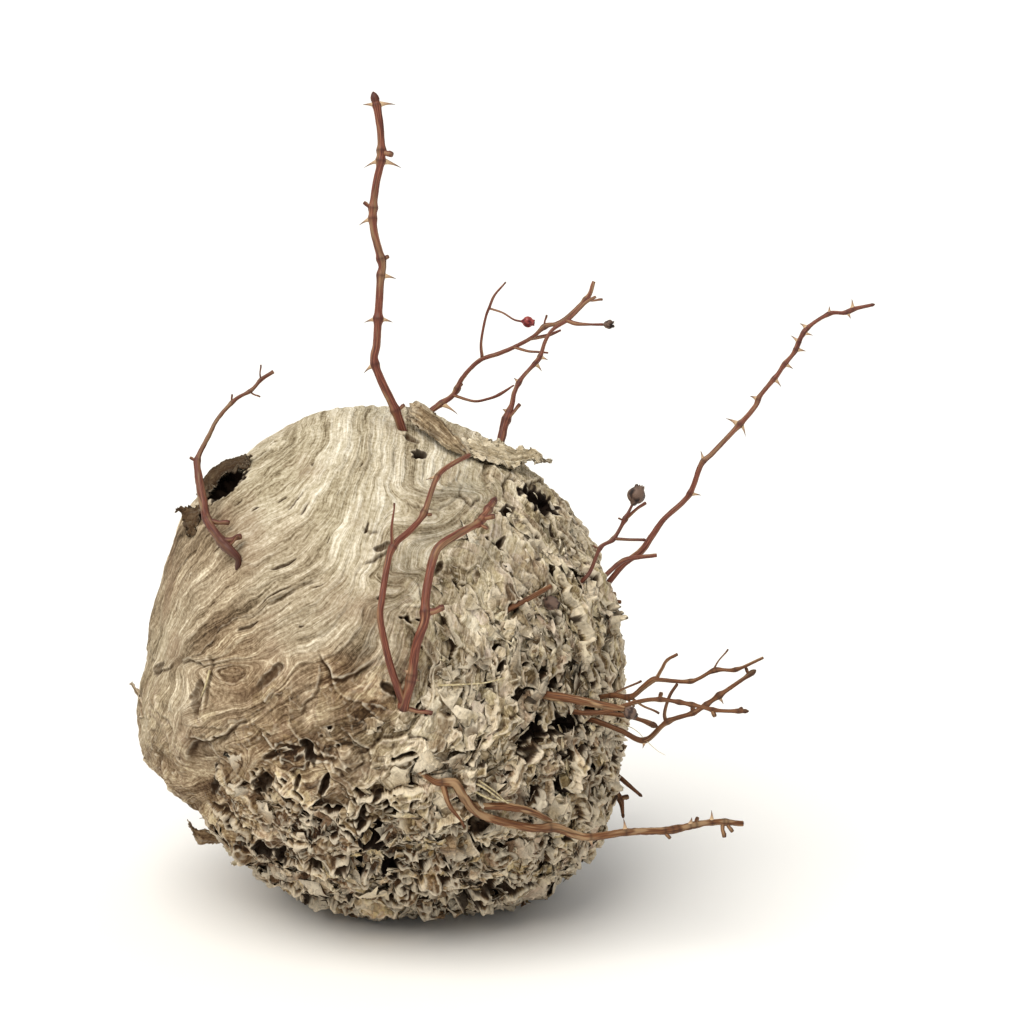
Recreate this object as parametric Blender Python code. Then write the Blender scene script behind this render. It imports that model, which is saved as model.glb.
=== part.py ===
"""A wasps' paper nest, as big as a football, built round the canes of a wild rose and cut with them in it.

The nest is one lump of paper. It is smoother at its upper left, where the paper lies in long shingled strips,
and crumpled and holed at its right and underside. Each cane sits in a socket that the paper has closed round
it, and carries its thorns, spurs and buds. Forks of a cane and the hips are pieces of their own.

Places are given as the front of the nest shows them, in millimetres: right of, above and nearer than the
nest's centre. The front is looked at from a little above. World axes: +X right, -Y towards the viewer, +Z up,
origin in the middle of the flat that the nest rests on.
"""

import math

import bmesh
import bpy
from mathutils import Quaternion, Vector, noise

MM = 0.001

# How the front is looked at
VIEW_TILT = math.radians(12)
VIEW_DISTANCE = 1600.0
SIGHT_RIGHT = 80.0
SIGHT_UP = 89.0
RIGHT = Vector((1, 0, 0))
UP = Vector((0, math.sin(VIEW_TILT), math.cos(VIEW_TILT)))
NEAR = Vector((0, -math.cos(VIEW_TILT), math.sin(VIEW_TILT)))

# The nest
NEST_CENTRE = Vector((-20.0, 0.0, 145.0))
# Radius of its outline, from the right and anticlockwise, every 20 degrees
OUTLINE = (140, 139, 141, 146, 150, 153, 149, 145, 138, 139, 149, 138, 140, 146, 149, 162, 164, 148)
FRONT_RADIUS = 146.0
BACK_RADIUS = 141.0
FLAT_BAND = 1.6
NEST_SUBDIVISIONS = 6
NEST_DETAIL_KEPT = 0.144

# Paper relief
BULGE_SIZE = 60.0
BULGE_HEIGHT = 2.4
CREASE_SPACING = 19.0
CREASE_HEIGHT = 5.5
POCKET_SPACING = 27.0
POCKET_WIDTH = 0.42
POCKET_DEPTH = 9.0
STRIP_WIDTH = 24.0
STRIP_STEP = 2.8
STRIP_WANDER = 0.8
STRIP_SLANT = 0.65
LEDGE_ROOT_WIDTH = 5.0
LEDGE_ROOT_DEPTH = 9.0
HOLE_RAGGEDNESS = 0.22

# Canes
SIDES = 6
THIN_SIDES = 5
THIN_RADIUS = 1.7
RING_SPACING = 13.0
RING_LEAST_GAP = 1.5
CURVE_STEPS = 12
THORN_BASE = 4.4
SPUR_TIP = 0.55
SOCKET_GAP = 0.45
HIP_SEGMENTS = 8
HIP_RINGS = 6
HIP_STRETCH = 1.12

# Each cane's route is of (right, up, near, radius), from inside the nest to its tip. A thorn or spur is
# (right, up) of where it grows and its offset (right, up, near). Trim shortens a fork's start, to clear what
# it grows from.
RED_CANES = {
    "cane_top": {
        "route": [
            (24, 112, 36, 2.8), (15, 136, 54, 2.9), (10, 150, 60, 2.7), (-2, 177, 62, 2.5),
            (-1, 192, 62, 2.4), (1, 228, 60, 2.4), (2, 238, 60, 2.4), (-2.5, 256, 60, 2.4),
            (-3.5, 269, 60, 2.4), (-1.5, 286, 60, 2.3), (1.3, 300, 60, 2.3), (1.3, 315, 60, 2.2),
            (-1, 334, 60, 2.1), (-2, 338, 60, 1.7),
        ],
        "thorns": [
            (-1, 333, -8, 0, 0), (0, 333, 11, 0, 1), (1, 297, -10, -2, 1), (1, 297, 12, -2, 0),
            (-4, 264, -9, -5, 0), (2, 231, 9, -2, 1), (0, 204.5, -8, -2, 0), (0, 204.5, 8.5, -2, 1),
            (-2, 177, -6.5, -5, 0),
        ],
        "spurs": [(1, 304, 5, 1.5, 2), (-3, 273, -5, 3, 0), (2, 241, 4.5, 1.5, 0)],
    },
    "cane_left": {
        "route": [
            (-83, 38, 84, 2.2), (-85.5, 50, 104, 2.4), (-84, 60, 113, 3.0), (-89, 66, 112, 3.4),
            (-94.5, 71.5, 107, 3.2), (-102.5, 83.5, 97, 3.0), (-105.5, 96.5, 88, 3.2),
            (-108, 110.5, 80, 2.9), (-108.5, 121, 75, 2.3), (-101.5, 135.5, 70, 1.9),
            (-96.5, 145, 66, 1.8), (-86, 156.5, 62, 1.7), (-76.5, 162, 60, 1.5), (-70.5, 168.5, 58, 1.4),
            (-63.5, 173, 56, 1.6),
        ],
        "spurs": [
            (-99, 80, 11, 2, 2), (-91, 68.5, 7, 6, 2), (-71, 168, 0, 8.5, 0), (-78, 161, 6, -3, 0),
            (-88, 154.5, 0, 4.5, 0), (-108, 120, -4, 1.5, 0),
        ],
    },
    "cane_front": {
        "route": [
            (13, -46, 118, 2.9), (14, -31, 140, 2.9), (16, -24, 147, 3.0), (19.5, -11, 151, 2.9),
            (22.5, 8.5, 154, 2.8), (27.5, 23.5, 154, 2.8), (28, 34, 152, 2.7), (29.5, 46.5, 149, 2.7),
            (33.5, 63.5, 143, 2.6), (39, 70.5, 140, 2.5), (52.5, 78.5, 130, 2.4), (60.5, 83, 122, 2.3),
            (68, 94, 112, 2.3),
        ],
        "thorns": [(19, -8, -5, 2, 2), (19, -12, 5, 0, 1)],
        "spurs": [(27, 29, 10.5, 3.5, 1), (60, 83, 5, -3, 2)],
    },
    "cane_front_fork": {
        "route": [
            (15, -27, 145, 2.3), (11.5, -17, 151, 2.4), (6, 0.5, 155, 2.2), (1, 24.5, 156, 2.1),
            (2, 37, 154, 2.1), (5.5, 59, 147, 2.0), (9.5, 69.5, 143, 2.0), (19.5, 78.5, 136, 1.9),
            (27, 88, 128, 1.8), (32, 102.5, 117, 1.7), (36.5, 112, 108, 1.6), (44.5, 118, 99, 1.5),
            (54, 123, 89, 1.4),
        ],
        "thorns": [(9, 68, 1, 24, 2), (35, 110, -7, -2, 2)],
        "spurs": [(27, 88, 4, -1, 0)],
        "trim": 11.5,
    },
    "cane_back": {
        "route": [
            (10, 124, -24, 2.6), (22, 138, -26, 2.8), (32, 150, -28, 2.7), (44.5, 159, -30, 2.7),
            (50, 169, -30, 2.4), (56, 176, -30, 2.3), (62.5, 181, -30, 2.3), (72, 184, -30, 2.1),
            (81.5, 188, -30, 2.0), (92.5, 194, -30, 2.0), (100, 200.5, -30, 1.9), (107, 202, -31, 1.9),
            (114, 206.5, -31, 1.9), (125.5, 218, -32, 1.8), (129, 227, -32, 1.3),
        ],
        "thorns": [(38, 154, 10, -7, 4)],
        "spurs": [(124, 217, 10, 0, 2), (100, 200, 1.5, 7, 0), (47, 163, 3, 3, 0)],
    },
    "cane_back_second": {
        "route": [
            (66, 112, 6, 2.7), (73, 131, 2, 2.8), (75.5, 141.5, -1, 2.7), (80, 153.5, -4, 2.5),
            (81.5, 161, -5, 2.4), (86, 169.5, -7, 2.2), (95, 179.5, -9, 2.1), (97.5, 184, -10, 2.1),
            (100, 191.5, -11, 2.0), (104.5, 198.5, -12, 1.9), (114.5, 205, -14, 1.7),
            (124, 214.5, -15, 1.5), (130, 218, -16, 1.3),
        ],
        "thorns": [(78, 149, -4, 2, 0), (96, 182, 5, -2, 1), (94, 178, 4, -5, 0), (84, 167, -3, 3, 0)],
        "spurs": [(77, 144, 8, 9, 1)],
    },
    "cane_right": {
        "route": [
            (118, 30, -14, 2.6), (127, 36, -12, 2.6), (136, 44.5, -10, 2.5), (147, 57.5, -8, 2.4),
            (157.5, 65.5, -6, 2.7), (164, 74.5, -5, 2.3), (171.5, 85, -4, 2.2), (186, 99, -2, 2.1),
            (193.5, 117.5, 0, 2.1), (200, 124, 1, 2.1), (217, 142, 3, 2.1), (226, 152.5, 4, 2.0),
            (229, 159, 5, 1.9), (239, 171, 6, 1.8), (243, 177, 6, 1.8), (249.5, 185, 7, 1.7),
            (253.5, 194, 8, 1.6), (258.5, 200.5, 8, 1.6), (270.5, 208, 9, 1.5), (279.5, 208.5, 10, 1.4),
            (286, 211, 10, 1.4), (295, 213, 11, 1.1),
        ],
        "thorns": [
            (216, 141, -8, 4, 0), (217, 142, 3, -8, 1), (187, 100, 7, -1, 0), (196, 119, -2, 6, 1),
            (228, 157, -5, 2, 0), (238, 169, 4, -5, 1), (244, 178, 5, -3, 0), (252, 191, -5, 4, 0),
            (255, 196, 5.5, -1.5, 1), (257, 199, -4.5, 3, 0), (250, 187, 6, -1, 0),
            (270, 208, 0, 4.5, 1), (284, 210, -0.5, 6.5, 0), (281, 209, 2, -4, 1),
        ],
    },
    "stub_right": {
        "route": [
            (120, 42, 12, 1.9), (132, 47.5, 10, 1.9), (141.5, 56, 7, 1.9), (148, 60.5, 5, 1.9),
            (157.5, 62, 4, 1.8), (166.5, 63, 3, 1.7),
        ],
    },
    "twig_right": {
        "route": [
            (110, 36, 48, 1.4), (121.5, 47, 61, 1.4), (127, 53.5, 62, 1.3), (133, 67.5, 60, 1.2),
            (141, 73, 58, 1.3), (148, 85, 56, 1.2), (151.3, 91.5, 55, 0.9),
        ],
        "spurs": [(133, 67, -4, 1.5, 0), (147, 84, -3.5, 1, 0)],
    },
}

# Forks that stand clear of the nest
RED_FORKS = {
    "twig_back_up": {
        "route": [
            (62, 182, -30, 1.4), (61.5, 191, -30, 1.1), (64, 205, -29, 1.0), (66.5, 212, -28, 1.2),
            (69.5, 219, -28, 1.1), (75.5, 226, -27, 0.7),
        ],
        "trim": 3.6,
    },
    "hip_stalk_red": {
        "route": [
            (67, 211, -28, 0.7), (74.5, 208.5, -25, 0.6), (81, 204.5, -22, 0.6),
            (85.9, 203.3, -20.4, 0.7),
        ],
        "trim": 2.2,
    },
    "twig_back_low": {
        "route": [
            (45, 159, -29, 1.0), (57, 155.5, -26, 0.8), (66, 157, -24, 0.8), (72.5, 159.5, -23, 1.1),
            (81, 165, -21, 0.5),
        ],
        "trim": 4.6,
    },
    "twig_back_cross": {
        "route": [(91, 193, -31, 1.2), (97, 194, -35, 1.2), (103, 195.5, -38, 1.1), (109, 198, -40, 0.7)],
        "trim": 3.6,
    },
    "twig_back_thin": {
        "route": [
            (81, 188, -29, 1.0), (89.5, 185.5, -25, 0.8), (96, 185, -24, 0.7), (101.5, 184.5, -24, 0.6),
        ],
        "trim": 4.2,
    },
    "twig_calyx": {
        "route": [
            (113, 204, -13, 1.4), (118.5, 202, -10, 1.3), (127.5, 201.5, -8, 0.7),
            (134.3, 201.5, -7, 0.9),
        ],
        "trim": 4.4,
    },
    "twig_right_fork": {
        "route": [(148.5, 85, 57, 1.0), (155, 91, 62, 0.9), (160, 94.3, 64, 1.0)],
        "trim": 3.6,
    },
    "twig_right_side": {
        "route": [(141, 73, 58, 1.0), (149, 72.5, 61, 0.9), (158, 72.3, 63, 0.9)],
        "trim": 2.8,
    },
}

BROWN_CANES = {
    "stub_side": {
        "route": [(122, 37, 2, 1.2), (135, 35.5, 0, 1.2), (145, 35, 0, 1.2)],
        "spurs": [(141, 35.2, 0, 5, 0)],
    },
    "bundle_cane": {
        "route": [
            (84, -12, 86, 2.6), (98, -20, 106, 2.8), (115, -23, 112, 2.6), (135, -27, 114, 2.3),
            (147, -29, 115, 1.8),
        ],
    },
    "bundle_upper": {
        "route": [
            (116, -19, 48, 1.5), (129, -22, 64, 1.6), (141, -21, 76, 1.6), (151, -22, 83, 1.7),
            (159, -16, 88, 1.7), (166, -12, 91, 1.7), (187.5, -12.5, 97, 1.5), (201.5, -6, 101, 1.4),
            (214.5, -5.5, 105, 1.3), (230.5, 1.5, 109, 1.2),
        ],
        "spurs": [(140, -21, 17, 8, -2), (151, -22, 16, -9, 3), (201, -6.5, 8.5, 12, 0)],
    },
    "bundle_middle": {
        "route": [
            (102, -26, 82, 1.8), (118, -31, 94, 1.8), (135, -31, 99, 1.8), (155, -25, 103, 1.8),
            (169, -23.5, 106, 1.6), (187.5, -26.5, 109, 1.5), (202.5, -30, 112, 1.4),
            (218.5, -30.5, 114, 1.3),
        ],
        "spurs": [(194, -29, 1, -5, 1), (162, -24.5, 1, 4, 0)],
    },
    "bundle_lower": {
        "route": [
            (117, -34, 58, 1.8), (129, -36, 74, 1.9), (145, -42, 82, 1.9), (159.5, -48, 88, 2.0),
            (173, -37, 93, 1.8), (189.5, -31, 97, 1.7), (204.5, -21, 100, 1.5), (222.5, -8.5, 104, 1.4),
        ],
        "thorns": [(190, -31, 3, -5, 0), (159, -48, -1, -4.5, 1)],
    },
    "bundle_short": {
        "route": [
            (114, -30, 66, 1.4), (128, -31, 76, 1.5), (147, -33, 88, 1.6), (158, -36, 93, 1.5),
            (163, -38, 95, 1.5),
        ],
    },
    "cane_low": {
        "route": [
            (12, -56, 106, 2.0), (23, -66.5, 129, 2.2), (34, -74, 133, 2.6), (44, -75, 133, 2.8),
            (49.5, -82, 132, 2.6), (58, -90.5, 129, 2.5), (71, -96, 124, 2.5), (92, -100.5, 114, 2.5),
            (106.5, -100.5, 107, 2.8), (117.5, -104.5, 102, 2.6), (127.5, -106, 98, 2.6),
            (150, -103, 90, 2.5), (174, -102, 82, 2.4), (191, -98.5, 77, 2.3), (204, -97, 73, 2.2),
            (218, -98, 68, 1.9),
        ],
        "thorns": [
            (127, -106, 1.5, -6, 0), (148, -103, -1, 8, 1), (200, -97, 0, 7, 0), (186, -99, 1, 5, 1),
        ],
        "spurs": [(46, -78, 3, -17, 4), (207, -97, 0.5, -8, 2), (172, -102, 3, -4, 1)],
    },
    "strip_low": {
        "route": [
            (38, -74, 104, 1.6), (47, -82, 112, 1.8), (59.5, -87, 114, 1.9), (78, -88, 112, 2.2),
            (92, -91, 106, 2.2), (103, -95, 99, 1.6),
        ],
    },
    "stub_back": {
        "route": [(130, -60, -10, 1.4), (143, -69, -6, 1.6), (149, -74, -4, 1.4), (156, -80, -3, 1.0)],
    },
    "stub_back_fork": {
        "route": [
            (144, -69.5, -6, 1.6), (142, -76, -7, 1.7), (145.5, -85, -6, 1.6), (146.5, -92, -5, 1.0),
        ],
        "spurs": [(144.5, -83, 4.5, 1.5, 0)],
        "trim": 3.6,
    },
    "twig_front": {
        "route": [(68, 22, 106, 1.5), (77, 30, 120, 1.6), (90, 37, 117, 1.5), (103, 44.5, 110, 1.4)],
    },
}

BROWN_FORKS = {
    "bundle_upper_twig": {
        "route": [(166, -12, 91, 1.2), (170, -5, 92, 1.0), (173, 0, 93, 1.0), (179, 3.6, 94, 0.9)],
        "trim": 3.0,
    },
    "bundle_lower_twig": {
        "route": [
            (173, -38, 93, 1.4), (171.5, -32, 89, 1.3), (174.5, -21.5, 84, 1.3), (179, -14.5, 80, 1.2),
        ],
        "trim": 3.8,
    },
}

# A hip is its place (right, up, near), its radius and the way to its stalk
RED_HIPS = {"hip_red": ((89.6, 203, -19.5), 3.3, (-4, 0.6, -1))}
DRY_HIPS = {
    "hip_right": ((154.7, 99, 54.5), 5.0, (-3, -8, 1)),
    "calyx": ((137.3, 201.5, -6.5), 2.3, (-4, 0, -1)),
    "hip_front": ((103.5, 34.5, 99.5), 4.0, (-1, 0.4, 0)),
}
HIP_IN_PAPER = "hip_front"

# A ledge is its spine of (right, up, height) and how far its lip tips (right, up, near)
LEDGES = {
    "flap": ([(54, 121, 3), (45, 127, 9), (34, 137, 15), (20, 147, 10)], (-3, 0, 4)),
    "shelf": ([(56, 124, 3), (72, 120, 6), (86, 115, 8), (96, 109, 6), (97, 100, 2)], (2, 0, 2)),
    "hood": ([(-102, 98, 4), (-97, 106, 8), (-90, 113, 8), (-78, 119, 3)], (1, -4, 3)),
    "left_tongue": ([(-116, 76, 3), (-115, 83, 6), (-106, 93, 3)], (-2, -2, 3)),
    "upper_lip": ([(-118, -44, 2), (-104, -41, 7), (-88, -42, 7), (-76, -46, 3)], (1, -4, 2)),
    "lower_lip": ([(-112, -54, 2), (-98, -50, 7), (-84, -51, 7), (-74, -56, 2)], (1, -4, 2)),
    "hanging_lip": ([(-34, 4, 3), (-27, -10, 8), (-15, -10, 8), (1, 4, 3)], (1, -5, 2)),
    "left_spike": ([(-136, -14, 2), (-139, -20, 8), (-137, -32, 2)], (-2, 2, 0)),
    "low_left_flake": ([(-110, -92, 3), (-103, -102, 7), (-92, -110, 3)], (-3, 1, 0)),
    "bottom_flake": ([(34, -146, 3), (50, -147, 5), (66, -144, 3)], (0, -2, 0)),
}

# A hole is (right, up, half length, half width, angle of its length in degrees, depth)
HOLES = {
    "torn_hole": (97, 92, 15, 7.5, -46, 20),
    "door_hole": (23.5, 124.5, 5.5, 3.6, 5, 12),
    "long_hole": (-66, -12, 14, 5, 52, 8),
    "hood_hole": (-94, -68, 13, 6, 78, 12),
    "slot_hole": (-41, -50, 11, 4.5, -62, 13),
    "low_left_hole": (-68, -72, 8, 6.5, 60, 13),
    "low_hole": (-3, -101, 8, 6.5, 10, 13),
    "bundle_hole": (92, -38, 9, 6, 75, 14),
    "right_hole": (112, -36, 8, 7, 20, 12),
}


# Places ------------------------------------------------------------------------------------------------


def turned(right, up, near):
    """An offset of the front view, in world axes."""
    return RIGHT * right + UP * up + NEAR * near


def unshifted(right, up, near):
    """How far right of and above the centre a place really is, from how the front shows it."""
    shrink = 1 - near / VIEW_DISTANCE
    return SIGHT_RIGHT + (right - SIGHT_RIGHT) * shrink, SIGHT_UP + (up - SIGHT_UP) * shrink


def seen(right, up, near):
    """The world point, in metres, that the front shows there, so much nearer than the centre."""
    return (NEST_CENTRE + turned(*unshifted(right, up, near), near)) * MM


def ramp(value, low, high):
    share = min(1.0, max(0.0, (value - low) / (high - low)))
    return share * share * (3 - 2 * share)


def between(before, start, end, after, share):
    """A point on the smooth curve that runs from start to end, with the points on either side of them."""
    bend = 2 * before - 5 * start + 4 * end - after
    sway = 3 * (start - end) + after - before
    return start + 0.5 * share * (end - before + share * (bend + share * sway))


# Making objects ----------------------------------------------------------------------------------------


def material(name, colour, roughness):
    made = bpy.data.materials.new(name)
    made.diffuse_color = (*colour, 1.0)
    made.use_nodes = True
    shader = made.node_tree.nodes["Principled BSDF"]
    shader.inputs["Base Color"].default_value = (*colour, 1.0)
    shader.inputs["Roughness"].default_value = roughness
    shader.inputs["Metallic"].default_value = 0.0
    return made


def object_of(built, name, finish):
    """Turns a closed bmesh into a named object of the scene, with its faces outwards."""
    if built.calc_volume(signed=True) < 0:
        bmesh.ops.reverse_faces(built, faces=built.faces)
    mesh = bpy.data.meshes.new(name)
    built.to_mesh(mesh)
    built.free()
    mesh.materials.append(finish)
    made = bpy.data.objects.new(name, mesh)
    bpy.context.scene.collection.objects.link(made)
    return made


def guide_of(built, name, finish):
    """An object that only shapes the nest."""
    made = object_of(built, name, finish)
    made.hide_render = True
    made.display_type = "WIRE"
    return made


def skin_rings(built, rings):
    """Closes a run of rings of vertices into one skin, with a cap at each end."""
    corners = len(rings[0])
    for ring, following in zip(rings, rings[1:]):
        for corner in range(corners):
            beside = (corner + 1) % corners
            built.faces.new((ring[corner], ring[beside], following[beside], following[corner]))
    built.faces.new(list(reversed(rings[0])))
    built.faces.new(rings[-1])


# Canes -------------------------------------------------------------------------------------------------


class Route:
    """A cane's smooth line, read by the distance along it in metres."""

    def __init__(self, points):
        places = [seen(*point[:3]) for point in points]
        radii = [point[3] * MM for point in points]
        ends = [2 * places[0] - places[1], *places, 2 * places[-1] - places[-2]]
        self.sides = THIN_SIDES if max(radii) < THIN_RADIUS * MM else SIDES
        self.points = []
        for index in range(len(points) - 1):
            for step in range(CURVE_STEPS):
                share = step / CURVE_STEPS
                radius = radii[index] + (radii[index + 1] - radii[index]) * share
                self.points.append((between(*ends[index : index + 4], share), radius))
        self.points.append((places[-1], radii[-1]))
        self.distances = [0.0]
        for (here, _), (there, _) in zip(self.points, self.points[1:]):
            self.distances.append(self.distances[-1] + (there - here).length)
        self.length = self.distances[-1]

    def at(self, distance):
        """The place and the radius at a distance."""
        distance = min(max(distance, 0.0), self.length)
        index = next(i for i, reached in enumerate(self.distances[1:]) if reached >= distance - 1e-12)
        share = (distance - self.distances[index]) / (self.distances[index + 1] - self.distances[index])
        (here, radius), (there, next_radius) = self.points[index], self.points[index + 1]
        return here.lerp(there, share), radius + (next_radius - radius) * share

    def heading(self, distance):
        reach = 0.5 * MM
        return (self.at(distance + reach)[0] - self.at(distance - reach)[0]).normalized()

    def nearest(self, right, up):
        """The distance along the cane of the place that the front shows nearest to (right, up)."""

        def gap(index):
            place = self.points[index][0]
            near = (place / MM - NEST_CENTRE).dot(NEAR)
            return (place - seen(right, up, near)).length

        return self.distances[min(range(len(self.points)), key=gap)]


def ring_distances(route, start, growths):
    """Where the rings of a cane's tube go: close on either side of each growth, and evenly between."""
    half = THORN_BASE * MM / 2
    count = max(2, round((route.length - start) / (RING_SPACING * MM)))
    even = [start + (route.length - start) * step / count for step in range(count + 1)]
    beside = [growth + side for growth in growths for side in (-half, half) if growth + side < route.length]
    kept = [even[0], even[-1]]
    for distance in [*beside, *even]:
        if all(abs(distance - other) > RING_LEAST_GAP * MM for other in kept):
            kept.append(distance)
    return sorted(kept)


def tube(route, distances, extra):
    """A closed tube round the route with a ring at each distance, thicker than the cane by extra."""
    built = bmesh.new()
    heading = route.heading(distances[0])
    side = heading.orthogonal().normalized()
    rings = []
    for distance in distances:
        place, radius = route.at(distance)
        swing = heading.rotation_difference(route.heading(distance))
        heading = route.heading(distance)
        side = swing @ side
        turns = [2 * math.pi * corner / route.sides for corner in range(route.sides)]
        spokes = [Quaternion(heading, turn) @ side for turn in turns]
        rings.append([built.verts.new(place + spoke * (radius + extra)) for spoke in spokes])
    skin_rings(built, rings)
    return built


def face_towards(built, place, offset):
    """The side face of a tube beside a place that looks most along the offset."""
    built.normal_update()
    sides = [face for face in built.faces if len(face.verts) == 4]
    sides.sort(key=lambda face: (face.calc_center_median() - place).length)
    return max(sides[:THIN_SIDES], key=lambda face: face.normal.dot(offset))


def grow_thorn(built, place, offset):
    """A thorn: the face under it is raised to a point."""
    poked = bmesh.ops.poke(built, faces=[face_towards(built, place, offset)])
    poked["verts"][0].co = place + offset


def grow_spur(built, place, offset, tip_share):
    """A spur or a bud: the face under it is drawn out and narrowed."""
    drawn = bmesh.ops.extrude_discrete_faces(built, faces=[face_towards(built, place, offset)])["faces"][0]
    middle = drawn.calc_center_median()
    for vert in drawn.verts:
        vert.co = place + offset + (vert.co - middle) * tip_share


def grown_tube(route, distances, thorns, spurs, extra=0.0):
    """A cane's tube with its thorns and spurs. Extra is what its socket's guide stands off all round."""
    built = tube(route, distances, extra)
    for place, offset in thorns:
        grow_thorn(built, place, offset + offset.normalized() * extra * 3)
    for place, offset in spurs:
        grow_spur(built, place, offset + offset.normalized() * extra, 1.0 if extra else SPUR_TIP)
    return built


def cane(name, finish, shape, socket):
    """A cane, and the guide of its socket if it has one."""
    route = Route(shape["route"])
    thorns = shape.get("thorns", [])
    growths = [*thorns, *shape.get("spurs", [])]
    middles = [route.nearest(*growth[:2]) for growth in growths]
    offsets = [turned(*growth[2:]) * MM for growth in growths]
    distances = ring_distances(route, shape.get("trim", 0.0) * MM, middles)
    rooted = [(route.at(middle)[0], offset) for middle, offset in zip(middles, offsets)]
    grown = (route, distances, rooted[: len(thorns)], rooted[len(thorns) :])
    object_of(grown_tube(*grown), name, finish)
    return [guide_of(grown_tube(*grown, SOCKET_GAP * MM), name + "_socket", finish)] if socket else []


def hip_ball(place, radius, stalk_way):
    """A ball drawn out a little along its stalk."""
    built = bmesh.new()
    bmesh.ops.create_uvsphere(built, u_segments=HIP_SEGMENTS, v_segments=HIP_RINGS, radius=radius * MM)
    turn = Vector((0, 0, -1)).rotation_difference(turned(*stalk_way))
    for vert in built.verts:
        vert.co.z *= HIP_STRETCH if abs(vert.co.z) > 0.95 * radius * MM else 1.0
        vert.co = seen(*place) + turn @ vert.co
    return built


# Paper -------------------------------------------------------------------------------------------------


def body_radius(direction):
    """The nest's radius without its relief, in a unit direction of the front view."""
    place = (math.atan2(direction.y, direction.x) / (2 * math.pi) * len(OUTLINE)) % len(OUTLINE)
    index = int(place)
    around = [OUTLINE[(index + step) % len(OUTLINE)] for step in (-1, 0, 1, 2)]
    pole = FRONT_RADIUS if direction.z > 0 else BACK_RADIUS
    return between(*around, place - index) * (1 - direction.z ** 2) + pole * direction.z ** 2


def crumpled(direction):
    """How crumpled the paper is: 0 at the upper left, 1 at the right and below."""
    right_side = ramp(direction.x, 0.15, 0.5) * ramp(-direction.y, -0.95, -0.5)
    underside = ramp(-direction.y, 0.1, 0.45)
    return max(right_side, underside)


def strip_place(place):
    """How far up across the strips a place is. They rise to the right, and steepen at the left edge."""
    steep_left = 70 * math.exp(-(place.x + 137) / 22)
    steep_middle = 18 * math.tanh((place.x + 5) / 16)
    return place.y - STRIP_SLANT * place.x + steep_left - steep_middle - STRIP_SLANT * place.z


def relief(direction):
    """How far the paper stands out: in strips where it is smooth, in creases and pockets elsewhere."""
    rough = crumpled(direction)
    place = direction * FRONT_RADIUS
    bulge = BULGE_HEIGHT * noise.noise(place / BULGE_SIZE)
    wander = STRIP_WANDER * noise.noise(place / BULGE_SIZE + Vector((9, 4, 2)))
    strip = STRIP_STEP * ((strip_place(place) / STRIP_WIDTH + wander) % 1.0 - 0.5)
    crease = place / CREASE_SPACING
    fold = CREASE_HEIGHT * (0.5 - abs(2 * noise.noise(crease)) + 0.5 * noise.noise(2.3 * crease))
    pocket = POCKET_DEPTH * (1 - ramp(noise.voronoi(place / POCKET_SPACING)[0][0], 0, POCKET_WIDTH))
    return bulge + strip * (1 - rough) + (fold - pocket) * rough


def on_nest(right, up):
    """The world point, in metres, of the plain body's surface that the front shows there."""
    near = FRONT_RADIUS
    for _ in range(12):
        true_right, true_up = unshifted(right, up, near)
        radius = body_radius(Vector((true_right, true_up, near)).normalized())
        near = math.sqrt(max(radius ** 2 - true_right ** 2 - true_up ** 2, 0.0))
    return seen(right, up, near)


def nest_body(finish):
    """The lump of paper. What would lie below the surface it rests on is pushed down, to be cut off level."""
    built = bmesh.new()
    bmesh.ops.create_icosphere(built, subdivisions=NEST_SUBDIVISIONS, radius=1.0)
    for vert in built.verts:
        direction = vert.co.normalized()
        place = NEST_CENTRE + turned(*(direction * (body_radius(direction) + relief(direction))))
        if place.z < FLAT_BAND:
            place.z = -FLAT_BAND
        vert.co = place * MM
    made = object_of(built, "nest", finish)
    faceted = made.modifiers.new("faceted", "DECIMATE")
    faceted.ratio = NEST_DETAIL_KEPT
    return made


def ledge(spine, lean):
    """A lip of paper that stands out of the nest and tips over by lean."""
    built = bmesh.new()
    tip = turned(*lean) * MM
    places = [on_nest(right, up) for right, up, _ in spine]
    rings = []
    for index, place in enumerate(places):
        along = places[min(index + 1, len(places) - 1)] - places[max(index - 1, 0)]
        outward = (place - NEST_CENTRE * MM).normalized()
        across = along.cross(outward).normalized() * LEDGE_ROOT_WIDTH * MM
        root = place - outward * LEDGE_ROOT_DEPTH * MM
        lip = place + outward * spine[index][2] * MM + tip
        rings.append([built.verts.new(corner) for corner in (root - across, lip, root + across)])
    skin_rings(built, rings)
    return built


def hole(right, up, half_length, half_width, angle, depth):
    """The ragged ball that a torn hole is hollowed by."""
    built = bmesh.new()
    bmesh.ops.create_icosphere(built, subdivisions=2, radius=1.0)
    place = on_nest(right, up)
    outward = (place - NEST_CENTRE * MM).normalized()
    along = turned(math.cos(math.radians(angle)), math.sin(math.radians(angle)), 0)
    along = (along - outward * along.dot(outward)).normalized()
    across = outward.cross(along)
    for vert in built.verts:
        ragged = 1 + HOLE_RAGGEDNESS * noise.noise(vert.co * 1.7 + place * 100)
        flat = (along * vert.co.x * half_length + across * vert.co.y * half_width) * ragged
        vert.co = place + (flat + outward * vert.co.z * depth) * MM
    return built


def below_rest():
    """What is cut off level, where the nest settled on a surface under its own weight."""
    built = bmesh.new()
    side = 4 * FRONT_RADIUS * MM
    bmesh.ops.create_cube(built, size=side)
    bmesh.ops.translate(built, vec=(0, 0, -side / 2), verts=built.verts)
    return built


def combine(target, guides, operation):
    for guide in guides:
        boolean = target.modifiers.new(guide.name, "BOOLEAN")
        boolean.operation = operation
        boolean.solver = "EXACT"
        boolean.object = guide


# The object --------------------------------------------------------------------------------------------


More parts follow.
